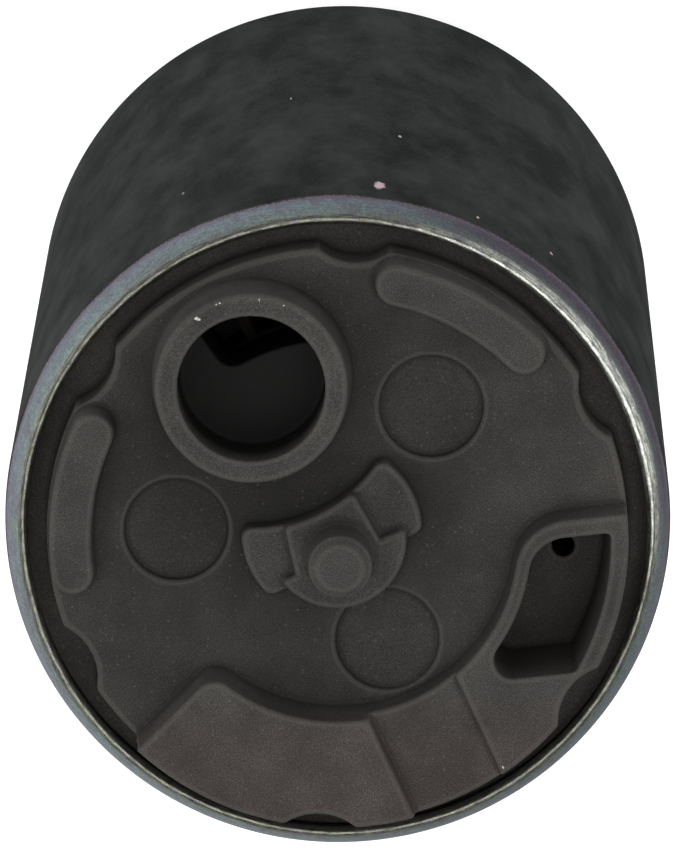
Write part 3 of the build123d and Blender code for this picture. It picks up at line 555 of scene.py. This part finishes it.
def rolled_end(bore_depth):
    """Half of the profile as radius and height above the bend: side, lip, inner face."""
    bend_radius = (roll_height**2 + bend_inset**2) / (2 * bend_inset)
    lean = math.asin(roll_height / bend_radius)
    centre = np.array([casing_radius - bend_radius, 0.0])
    side = arc(centre, bend_radius, 0.0, lean, lip_steps)
    cut = -cut_thickness * np.array([math.cos(lean), math.sin(lean)])
    outer, inner = side[-1], side[-1] + cut
    foot = np.array([casing_radius - end_wall, -inner_bend])
    along = np.array([math.sin(lean), -math.cos(lean)])
    edge = [
        side[:-1],
        worn_corner(outer + along, outer, inner, corner_wear),
        worn_corner(outer, inner, foot, corner_wear),
        [foot, (casing_radius - end_wall, -bore_depth), (casing_radius - tube_wall, -bore_depth)],
    ]
    return np.concatenate(edge)


def casing_points():
    """The profile turned round the axis, its lips a few hundredths of a millimetre uneven."""
    top = rolled_end(deep_bore[0])
    foot = rolled_end(deep_bore[1])[::-1]
    foot[:, 1] = -casing_length - foot[:, 1]
    heights = np.linspace(-casing_length + side_margin, -side_margin, side_steps)
    side = np.stack([np.full(side_steps, casing_radius), heights], axis=-1)
    profile = np.concatenate([top, foot, side])
    angle = np.linspace(0, 2 * math.pi, around_count, endpoint=False)[:, None]
    past = np.abs(profile[:, 1] + casing_length / 2) - casing_length / 2
    share = np.clip(past / roll_height, 0, 1) ** 2
    waves = sum(part * np.sin(count * angle + phase) for count, phase, part in lip_waves)
    radius = profile[:, 0] + unevenness * waves * share
    height = np.broadcast_to(profile[:, 1], radius.shape)
    return np.stack([radius * np.cos(angle), radius * np.sin(angle), height], axis=-1) * mm


casing_mesh = closed_grid_mesh("rolled_casing", casing_points())
add_piece("rolled_casing", casing_mesh, coated_steel, "pump_body", "coated_steel", "casing")
print("casing:", len(casing_mesh.polygons), "quads")

# %% [markdown]
# A casting has no sharp edges: metal doesn't fill the corners of a die, and shot-blasting
# rounds what is left. The measured solids are crisp, so a merged copy of each is rebuilt
# from tiny cubes and relaxed a few times, which rounds every outer edge and fills every
# inner corner by the same small radius.

# %% Rounded copies of cast and moulded pieces
join_distance = 0.001 * mm
relax_count = 3
most_triangles = 190000


def merged_copy(node, name):
    """A copy of a CAD node's mesh with its loose triangles joined up."""
    source = bmesh.new()
    source.from_mesh(frame["nodes"][node].data)
    bmesh.ops.remove_doubles(source, verts=source.verts, dist=join_distance)
    mesh = bpy.data.meshes.new(name)
    source.to_mesh(mesh)
    source.free()
    return mesh


def cast_copy(node, voxel):
    """A remeshed, relaxed and thinned copy, with an attribute that is high on proud edges."""
    copy = bpy.data.objects.new(node + "_cast", merged_copy(node, node + "_cast"))
    bpy.context.scene.collection.objects.link(copy)
    cubes = copy.modifiers.new("cubes", "REMESH")
    cubes.mode = "VOXEL"
    cubes.voxel_size = voxel * mm
    relaxing = copy.modifiers.new("relaxing", "SMOOTH")
    relaxing.factor = 0.5
    relaxing.iterations = relax_count
    tree = bpy.context.evaluated_depsgraph_get()
    fine = bpy.data.meshes.new_from_object(copy.evaluated_get(tree))
    count = sum(len(face.vertices) - 2 for face in fine.polygons)
    thinning = copy.modifiers.new("thinning", "DECIMATE")
    thinning.ratio = min(1.0, most_triangles / count)
    tree = bpy.context.evaluated_depsgraph_get()
    done = bpy.data.meshes.new_from_object(copy.evaluated_get(tree))
    done.name = node + "_cast"
    bpy.data.objects.remove(copy)
    done.shade_smooth()
    proud_attribute(done)
    print(node, "from", count, "to", len(done.polygons), "triangles")
    return done


# %% [markdown]
# Proud edges are painted paler, partly as wear and partly as a painted highlight, and
# inner corners are painted darker, as painted shade. Cycles has a Pointiness output for
# this, but the exported model would lose it. So how far each point stands out from its
# neighbours is worked out here and kept as an attribute: 0.5 on a flat face, more on an
# outer edge, less in a corner.

# %% How proud each point stands
def proud_attribute(mesh):
    """Height of each point above its neighbours, each over its distance squared, averaged."""
    count = len(mesh.vertices)
    place = np.empty(count * 3)
    mesh.vertices.foreach_get("co", place)
    place = place.reshape(-1, 3)
    normal = np.empty(count * 3)
    mesh.vertices.foreach_get("normal", normal)
    normal = normal.reshape(-1, 3)
    ends = np.empty(len(mesh.edges) * 2, dtype=np.int64)
    mesh.edges.foreach_get("vertices", ends)
    first, second = ends.reshape(-1, 2).T
    step = place[second] - place[first]
    length = np.maximum(np.linalg.norm(step, axis=1), 1e-9)
    bend = np.zeros(count)
    share = np.zeros(count)
    np.add.at(bend, first, -np.sum(step * normal[first], axis=1) / length**2)
    np.add.at(bend, second, np.sum(step * normal[second], axis=1) / length**2)
    np.add.at(share, first, 1)
    np.add.at(share, second, 1)
    share = np.maximum(share, 1)
    bend = bend / share * mm
    spread = np.zeros(count)
    np.add.at(spread, first, bend[second])
    np.add.at(spread, second, bend[first])
    bend = 0.5 * bend + 0.5 * spread / share
    proud = mesh.attributes.new("proud", "FLOAT", "POINT")
    proud.data.foreach_set("value", np.clip(0.5 + bend, 0, 1).astype(np.float32))
    print("proud from", round(float(bend.min()), 2), "to", round(float(bend.max()), 2))


# %% [markdown]
# The cover is an aluminium die casting with a hard anodic coat, dyed by its own silicon
# to a warm charcoal. Its tone isn't even. The floor between the inlet and the middle is
# painted darker, as painted shade. The raised tops are painted a little paler, as painted
# light, the faces below the floor are painted a warmer, paler tone, as painted light
# against their shade, and the tops of the long raised sector have gone brown.

# %% Broad tones of the casting, with painted shade and painted light
shade_middle = (-4, 3)  # mm, the middle of the painted shade on the floor
shade_reach = (4, 16)  # mm from there, from darkest painted shade to none
raised_band = (3.9, 5.4)  # mm of height, from the floor to the raised tops
sunk_band = (3.4, 0.9)  # mm of height, from the floor down to the flange
brown_band = (-8, -12)  # mm along Y, towards the long sector
brown_share = 0.8


def casting_tones(tree, axes, flat):
    """The colour of the coat by where it is on the cover, with painted shade and painted light."""
    low, high = raised_band
    raised_range = {"Value": axes["Z"], "From Min": low * mm, "From Max": high * mm}
    raised = add_node(tree, "MapRange", raised_range)["Result"]
    high, low = sunk_band
    sunk_range = {"Value": axes["Z"], "From Min": high * mm, "From Max": low * mm}
    sunk = add_node(tree, "MapRange", sunk_range)["Result"]
    # Painted shade: the floor is painted darker around a point between the inlet and the middle.
    shade_x, shade_y = shade_middle
    from_shade = {0: flat, 1: (shade_x * mm, shade_y * mm, 0.0)}
    spread = add_node(tree, "VectorMath", from_shade, operation="DISTANCE")["Value"]
    near, far = shade_reach
    unshaded_range = {"Value": spread, "From Min": near * mm, "From Max": far * mm}
    unshaded = add_node(tree, "MapRange", unshaded_range)["Result"]
    unshaded_mix = {"Fac": unshaded, "Color1": linear("21201f"), "Color2": linear("33312f")}
    face = add_node(tree, "MixRGB", unshaded_mix)["Color"]
    # Painted light: the raised tops are painted paler than the floor.
    raised_painted_light_mix = {"Fac": raised, "Color1": face, "Color2": linear("363533")}
    face = add_node(tree, "MixRGB", raised_painted_light_mix)["Color"]
    # Painted light: the faces below the floor are painted a paler, warmer tone against their shade.
    sunk_painted_light_mix = {"Fac": sunk, "Color1": face, "Color2": linear("34322f")}
    face = add_node(tree, "MixRGB", sunk_painted_light_mix)["Color"]
    start, end = brown_band
    brown_range = {"Value": axes["Y"], "From Min": start * mm, "From Max": end * mm, "To Max": brown_share}
    brown = add_node(tree, "MapRange", brown_range)["Result"]
    brown = add_node(tree, "Math", {0: brown, 1: raised}, operation="MULTIPLY")[0]
    brown_mix = {"Fac": brown, "Color1": face, "Color2": linear("3c3634")}
    return add_node(tree, "MixRGB", brown_mix)["Color"]


# The stain printed here is the painted shade on the floor.
print("the stain is", 2 * shade_reach[1], "mm across")

# %% [markdown]
# Close to, the coat is dry and matt, and every grain of it catches a little light by
# itself. Soft clouds and a grit multiply the tone, and a few of the cells of a cell
# pattern get a paler dot, a painted glint. The real grit is finer than a pixel, and is
# drawn at 0.08 mm.

# %% Grain and painted sparkle
casting_clouds = 4.5
casting_grit = 0.08
sparkle_spacing = 0.32


def grain_and_painted_sparkle(tree, place, face):
    """The colour with clouds, grit and painted sparkle, and the grit, which also dents it."""
    cloud_wired = {"Vector": place, "Scale": per(casting_clouds), "Detail": 4.0, "Roughness": 0.6}
    clouds = add_node(tree, "TexNoise", cloud_wired)["Fac"]
    grit_wired = {"Vector": place, "Scale": per(casting_grit), "Detail": 2.0, "Roughness": 0.7}
    grit = add_node(tree, "TexNoise", grit_wired)["Fac"]
    cloud_range = {"Value": clouds, "From Min": 0.35, "From Max": 0.68, "To Min": 0.8, "To Max": 1.3}
    cloudy = add_node(tree, "MapRange", cloud_range)["Result"]
    grit_range = {"Value": grit, "From Min": 0.42, "From Max": 0.7, "To Min": 0.8, "To Max": 2.0}
    gritty = add_node(tree, "MapRange", grit_range)["Result"]
    tone = add_node(tree, "Math", {0: cloudy, 1: gritty}, operation="MULTIPLY")[0]
    face = add_node(tree, "VectorMath", {0: face, "Scale": tone}, operation="SCALE")[0]

    # Painted glints: a paler dot in some cells stands in for grains that catch light.
    dots = add_node(tree, "TexVoronoi", {"Vector": place, "Scale": per(sparkle_spacing)})
    chosen = add_node(tree, "SeparateColor", {"Color": dots["Color"]})["Red"]
    bright_range = {"Value": chosen, "From Min": 0.6, "From Max": 1.0, "To Max": 0.4}
    bright = add_node(tree, "MapRange", bright_range)["Result"]
    near_range = {"Value": dots["Distance"], "From Min": 0.26, "From Max": 0.1}
    near = add_node(tree, "MapRange", near_range)["Result"]
    sparkle = add_node(tree, "Math", {0: near, 1: bright}, operation="MULTIPLY")[0]
    painted_sparkle_mix = {"Fac": sparkle, "Color1": face, "Color2": linear("6a6662")}
    return add_node(tree, "MixRGB", painted_sparkle_mix)["Color"], grit


print("grit of", casting_grit, "mm, and sparkle in cells of", sparkle_spacing, "mm")

# %% [markdown]
# Wear and painted shade come last. The proud attribute makes edges paler, as wear and a
# painted highlight, and corners darker, as painted shade, and the inlet's bore is painted
# dark, as painted shade. Bare metal shows in a few nicks, most of them on the rim of the
# inlet, where strainers were pushed on and off.

# %% Wear, painted highlights and shade, the dark bore and the nicks
boss_place = (-4.8, 9.1)  # mm, the inlet's axis
bore_radius = 4.18
bore_skin = 0.12  # mm into the wall that the bore's painted shade reaches
bore_band = (6.9, 4.5)  # mm of height, from no painted shade to dark
nicks = (
    (-7.86, 13.2, 7.2, 0.12),
    (-7.73, 13.12, 7.2, 0.1),
    (-6.75, 13.98, 7.1, 0.08),
    (-6.55, 14.02, 7.1, 0.07),
    (-4.32, 14.22, 7.1, 0.08),
    (-2.95, 13.95, 7.1, 0.07),
    (9.4, -13.1, 6.2, 0.07),
    (13.5, -7.6, 6.2, 0.06),
)  # x, y, z and radius of each, in mm


def wear_and_painted_shade(tree, place, axes, flat, face):
    """The colour with its paler edges, its painted shade in corners and bore, and its nicks."""
    proud = add_node(tree, "Attribute", attribute_name="proud")["Fac"]
    # Paler proud edges: partly wear, partly a painted highlight where the edges catch light.
    edge_range = {"Value": proud, "From Min": 0.54, "From Max": 0.9, "To Max": 0.25}
    edges = add_node(tree, "MapRange", edge_range)["Result"]
    edge_wear_and_highlight_mix = {"Fac": edges, "Color1": face, "Color2": linear("5e5a56")}
    face = add_node(tree, "MixRGB", edge_wear_and_highlight_mix)["Color"]
    # Painted shade: inner corners are painted darker.
    corner_range = {"Value": proud, "From Min": 0.44, "From Max": 0.1, "To Max": 0.4}
    corners = add_node(tree, "MapRange", corner_range)["Result"]
    corner_painted_shade_mix = {"Fac": corners, "Color1": face, "Color2": linear("1c1b1a")}
    face = add_node(tree, "MixRGB", corner_painted_shade_mix)["Color"]

    boss_x, boss_y = boss_place
    aside = {0: flat, 1: (boss_x * mm, boss_y * mm, 0.0)}
    from_axis = add_node(tree, "VectorMath", aside, operation="DISTANCE")["Value"]
    wall = (bore_radius + bore_skin) * mm
    bore_range = {"Value": from_axis, "From Min": wall, "From Max": bore_radius * mm}
    in_bore = add_node(tree, "MapRange", bore_range)["Result"]
    high, low = bore_band
    deep_range = {"Value": axes["Z"], "From Min": high * mm, "From Max": low * mm}
    deep = add_node(tree, "MapRange", deep_range)["Result"]
    # Painted shade: the inlet's bore is painted dark below its mouth.
    film_band_and_bore_shade = add_node(tree, "Math", {0: in_bore, 1: deep}, operation="MULTIPLY")[0]
    bore_painted_shade_mix = {"Fac": film_band_and_bore_shade, "Color1": face, "Color2": linear("171615")}
    face = add_node(tree, "MixRGB", bore_painted_shade_mix)["Color"]
    nick_mix = {"Fac": chips(tree, place, nicks), "Color1": face, "Color2": linear("c9c6c0")}
    return add_node(tree, "MixRGB", nick_mix)["Color"]


print(len(nicks), "nicks in the casting")

# %% [markdown]
# The three layers make the finish, and the finish goes on the rounded copy. Tiny cubes of
# 0.11 mm keep the steps round the pads and the gutter, which are only a few times that.

# %% The die-cast cover
casting_roughness = 0.68
casting_shine = 0.16
casting_dent = 0.025 * mm
cover_voxel = 0.11


def hard_anodised_casting():
    """A matt charcoal oxide coat: fine painted sparkle, soft clouds, painted light and shade, paler where it
    stands proud.
    """
    material, tree, place = start_material("hard_anodised_casting")
    axes = add_node(tree, "SeparateXYZ", {"Vector": place})
    flat = add_node(tree, "CombineXYZ", {"X": axes["X"], "Y": axes["Y"]})["Vector"]
    face = casting_tones(tree, axes, flat)
    face, grit = grain_and_painted_sparkle(tree, place, face)
    dent_wired = {"Height": grit, "Strength": 0.6, "Distance": casting_dent}
    surface_wired = {
        "Base Color": wear_and_painted_shade(tree, place, axes, flat, face),
        "Roughness": casting_roughness,
        "Normal": add_node(tree, "Bump", dent_wired)["Normal"],
        "Specular IOR Level": casting_shine,
    }
    surface = add_node(tree, "BsdfPrincipled", surface_wired)["BSDF"]
    add_node(tree, "OutputMaterial", {"Surface": surface})
    return material


cast_alloy = hard_anodised_casting()
cover_mesh = cast_copy("inlet_cover", cover_voxel)
add_piece("cast_inlet_cover", cover_mesh, cast_alloy, "pump_body", "cast_alloy", "inlet_cover")
print("the casting's finish has", len(cast_alloy.node_tree.nodes), "nodes")

# %% [markdown]
# Inside and at the far end are more than a dozen ordinary finishes: ground, stamped,
# sintered, drawn and moulded. Each is two close tones in one noise of the size that its
# making leaves, stretched along the way it was worked, which also drives its roughness
# and its dents. The die casting inside sits in the dark, so it is plainer than the cover.

# %% One plain recipe for the other pieces
roughness_swing = 0.1


def worked_material(name, dark, light, metallic, roughness, size, depth, stretch=(1, 1, 1), shine=0.5):
    """A finish with two tones in a noise of one size, stretched along the way it was worked."""
    material, tree, place = start_material(name)
    turned = add_node(tree, "Mapping", {"Vector": place, "Scale": stretch})["Vector"]
    wired = {"Vector": turned, "Scale": per(size), "Detail": 4.0, "Roughness": 0.6}
    pattern = add_node(tree, "TexNoise", wired)["Fac"]
    tone = add_node(tree, "MapRange", {"Value": pattern, "From Min": 0.3, "From Max": 0.7})["Result"]
    mix = {"Fac": tone, "Color1": linear(dark), "Color2": linear(light)}
    smooth, rough = roughness - roughness_swing, roughness + roughness_swing
    rough_range = {"Value": pattern, "To Min": smooth, "To Max": rough}
    dent_wired = {"Height": pattern, "Strength": 0.3, "Distance": depth * mm}
    surface_wired = {
        "Base Color": add_node(tree, "MixRGB", mix)["Color"],
        "Metallic": metallic,
        "Roughness": add_node(tree, "MapRange", rough_range)["Result"],
        "Normal": add_node(tree, "Bump", dent_wired)["Normal"],
        "Specular IOR Level": shine,
    }
    surface = add_node(tree, "BsdfPrincipled", surface_wired)["BSDF"]
    add_node(tree, "OutputMaterial", {"Surface": surface})
    return material


# %% [markdown]
# The recipes follow, one for each slot of the record. A metal is 1 in metallic and the
# rest 0, apart from enamelled copper, ferrite and carbon, which are part metal to the
# eye. Ground and stamped steel have lines, so their patterns are stretched.

# %% The finishes of the pieces
even = (1, 1, 1)
ground_lines = (1, 1, 8)
stacked_sheets = (1, 1, 30)
recipes = {
    "cast_alloy": ("plain_die_casting", "1d1c1b", "282725", 0.0, 0.7, 0.15, 0.02, even, 0.15),
    "hard_steel": ("ground_steel", "a9a9ab", "c6c6c8", 1.0, 0.25, 0.08, 0.004, ground_lines),
    "phenolic": ("moulded_phenolic", "120f0d", "1b1613", 0.0, 0.65, 0.15, 0.01, even, 0.1),
    "sintered_bronze": ("sintered_bronze", "8a6a3e", "a88450", 1.0, 0.5, 0.08, 0.02),
    "core_steel": ("stamped_core_steel", "77787a", "8d8e90", 1.0, 0.4, 0.3, 0.02, stacked_sheets),
    "copper_wire": ("enamelled_copper", "a0522a", "c06a35", 0.8, 0.3, 0.25, 0.02),
    "insulator": ("moulded_insulator", "a89a70", "b8aa80", 0.0, 0.5, 0.3, 0.01),
    "copper": ("turned_copper", "b8704a", "cc8860", 1.0, 0.3, 0.1, 0.006),
    "ferrite": ("ground_ferrite", "3a3b3e", "48494c", 0.1, 0.55, 0.12, 0.01),
    "spring_steel": ("drawn_spring_steel", "a2a2a0", "bcbcba", 1.0, 0.28, 0.1, 0.003),
    "moulding": ("black_acetal", "1d1e20", "252628", 0.0, 0.45, 0.2, 0.012),
    "seal_rubber": ("moulded_rubber", "1a1a1a", "242424", 0.0, 0.7, 0.15, 0.01),
    "valve_plastic": ("natural_acetal", "d8d5c8", "e4e1d6", 0.0, 0.35, 0.3, 0.004),
    "brass": ("turned_brass", "b09048", "c4a65c", 1.0, 0.3, 0.1, 0.005),
    "carbon": ("pressed_carbon", "2e2e2f", "3b3b3c", 0.2, 0.6, 0.08, 0.02),
    "tinned_brass": ("tinned_brass", "b8b8b2", "cfcfc8", 1.0, 0.35, 0.2, 0.006),
}  # name, two tones, metallic, roughness, pattern's size and depth in mm, stretch, shine
finishes = {slot: worked_material(*recipe) for slot, recipe in recipes.items()}
finishes["coated_steel"] = coated_steel
slot_of = {part["node"]: part["material_slot"] for part in frame["record"]["subparts"]}
for node, piece in frame["nodes"].items():
    for place in piece.material_slots:
        place.material = finishes[slot_of[node]]
print(len(finishes), "finishes on", len(frame["nodes"]), "nodes")

# %% [markdown]
# The far end is a black acetal moulding with a barbed nipple. It is rounded in the same
# way as the casting, with coarser cubes, because its edges are softer and seen from
# further off.

# %% The moulded outlet end
cap_voxel = 0.16
cap_mesh = cast_copy("outlet_cap", cap_voxel)
add_piece("moulded_outlet_cap", cap_mesh, finishes["moulding"], "pump_body", "moulding", "outlet_cap")

# %% [markdown]
# The springs and the brush leads join a fixed piece to a moving one. A spring that stayed
# as it is would be cut by its valve or brush at the end of the travel. Each gets its own
# merged copy in place of its CAD node, which is not shortened here.

# %% Springs and leads
for joint in frame["joints"]:
    for row in joint.get("deforming_nodes", []):
        node, fixed_end = row["node"], row["fixed_end_z_m"]
        name = node + "_shortening"
        mesh = merged_copy(node, name)
        mesh.shade_smooth()
        slot = slot_of[node]
        spring = add_piece(name, mesh, finishes[slot], "pump_body", slot, node)
        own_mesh(spring)

# %% [markdown]
# The studio is a pale floor, a soft sky that is brightest overhead, and five soft panels.
# The cover faces the sky, so it is lit flat and its deep places go dark, as in the
# photograph. The floor is white to the camera. To a mirror it glows, more on the left, so
# the zinc is paler there, and from below it is clear, so that the outlet end can be seen.

# %% The floor
floor_gap = 0.3 * mm
floor_size = 3.0
camera_glow = 0.5
mirror_glow = (0.6, 0.3)  # on the left and on the right
glow_fade = (-0.1, 0.1)  # metres along X, from one to the other
white = (1, 1, 1, 1)


def floor_paper():
    """A pale matt paper that keeps the shadow, glows to mirrors and is clear from below."""
    material, tree, place = start_material("pale_floor")
    path = add_node(tree, "LightPath")
    axes = add_node(tree, "SeparateXYZ", {"Vector": place})
    paper = add_node(tree, "BsdfDiffuse", {"Color": linear("e8e8e8")})[0]
    seen_glow = add_node(tree, "Emission", {"Color": white, "Strength": camera_glow})[0]
    to_camera = add_node(tree, "AddShader", {0: paper, 1: seen_glow})[0]
    start, end = glow_fade
    left, right = mirror_glow
    across_range = {"Value": axes["X"], "From Min": start, "From Max": end, "To Min": left, "To Max": right}
    across = add_node(tree, "MapRange", across_range, interpolation_type="SMOOTHSTEP")["Result"]
    mirrored = add_node(tree, "Emission", {"Color": white, "Strength": across})[0]
    kinds = {0: path["Is Glossy Ray"], 1: path["Is Transmission Ray"]}
    by_mirror = add_node(tree, "Math", kinds, operation="MAXIMUM")[0]
    plain = add_node(tree, "MixShader", {0: by_mirror, 1: paper, 2: mirrored})[0]
    both = add_node(tree, "MixShader", {0: path["Is Camera Ray"], 1: plain, 2: to_camera})[0]
    below = add_node(tree, "NewGeometry")["Backfacing"]
    clear = add_node(tree, "BsdfTransparent")[0]
    one_way = add_node(tree, "MixShader", {0: below, 1: both, 2: clear})[0]
    add_node(tree, "OutputMaterial", {"Surface": one_way})
    return material


floor_height = cad_box[0][2] - floor_gap
bpy.ops.mesh.primitive_plane_add(size=floor_size, location=(0, 0, floor_height))
floor = bpy.context.object
floor.name = "floor"
floor.data.materials.append(floor_paper())
print("floor at", round(floor_height / mm, 2), "mm")

# %% [markdown]
# The world is white to the camera, for the background. As a light it is dim at the
# horizon and bright above, which is what gives the tube its dark sides.

# %% The sky
sky_light = (0.16, 0.92)  # near the horizon and overhead
sky_rise = (-0.1, 0.9)  # the upward part of the direction, from one to the other


def studio_world():
    """A soft sky: white to the camera, and a light that grows from the horizon up."""
    world = bpy.data.worlds.new("studio")
    bpy.context.scene.world = world
    world.use_nodes = True
    tree = world.node_tree
    tree.nodes.clear()
    path = add_node(tree, "LightPath")
    towards = add_node(tree, "TexCoord")["Generated"]
    upward = add_node(tree, "SeparateXYZ", {"Vector": towards})["Z"]
    low, high = sky_rise
    dim, bright = sky_light
    sky_range = {"Value": upward, "From Min": low, "From Max": high, "To Min": dim, "To Max": bright}
    sky = add_node(tree, "MapRange", sky_range, interpolation_type="SMOOTHSTEP")["Result"]
    strength_range = {"Value": path["Is Camera Ray"], "To Min": sky, "To Max": 1.0}
    strength = add_node(tree, "MapRange", strength_range)["Result"]
    light = add_node(tree, "Background", {"Color": white, "Strength": strength})[0]
    add_node(tree, "OutputWorld", {"Surface": light})


studio_world()
print("sky from", sky_light[0], "to", sky_light[1])

# %% [markdown]
# Five panels finish the light: a small one in front on the left, which the worn edge of
# the lip opposite mirrors as a bright line, two broad ones left and right for the tube's
# sides, a faint one beyond the tube, and one in front for the cover. All face the origin.

# %% The panels
steep = 0.9  # a panel higher than this, of its distance, takes Y as its upright
panels = {
    "crest panel": ((-0.45, -0.2, 0.55), 0.5, 0.8),
    "left panel": ((-0.7, 0.1, 0.05), 0.8, 2.2),
    "right panel": ((0.7, 0.1, 0.0), 0.8, 2.2),
    "far panel": ((0.1, 0.8, 0.3), 0.8, 0.3),
    "front panel": ((0.15, -0.1, 0.85), 0.5, 1.4),
}  # place and size in metres, and watts


def soft_panel(name, place, size, watts):
    """A square lamp that faces the origin."""
    light = bpy.data.lights.new(name, "AREA")
    light.size = size
    light.energy = watts
    lamp = bpy.data.objects.new(name, light)
    bpy.context.scene.collection.objects.link(lamp)
    back = np.array(place) / np.linalg.norm(place)
    upright = (0.0, 0.0, 1.0) if abs(back[2]) < steep else (0.0, 1.0, 0.0)
    side = np.cross(upright, back)
    side /= np.linalg.norm(side)
    matrix = np.eye(4)
    matrix[:3, 0] = side
    matrix[:3, 1] = np.cross(back, side)
    matrix[:3, 2] = back
    matrix[:3, 3] = place
    lamp.matrix_world = matrix.T.tolist()


for name, (place, size, watts) in panels.items():
    soft_panel(name, place, size, watts)
print(len(panels), "panels")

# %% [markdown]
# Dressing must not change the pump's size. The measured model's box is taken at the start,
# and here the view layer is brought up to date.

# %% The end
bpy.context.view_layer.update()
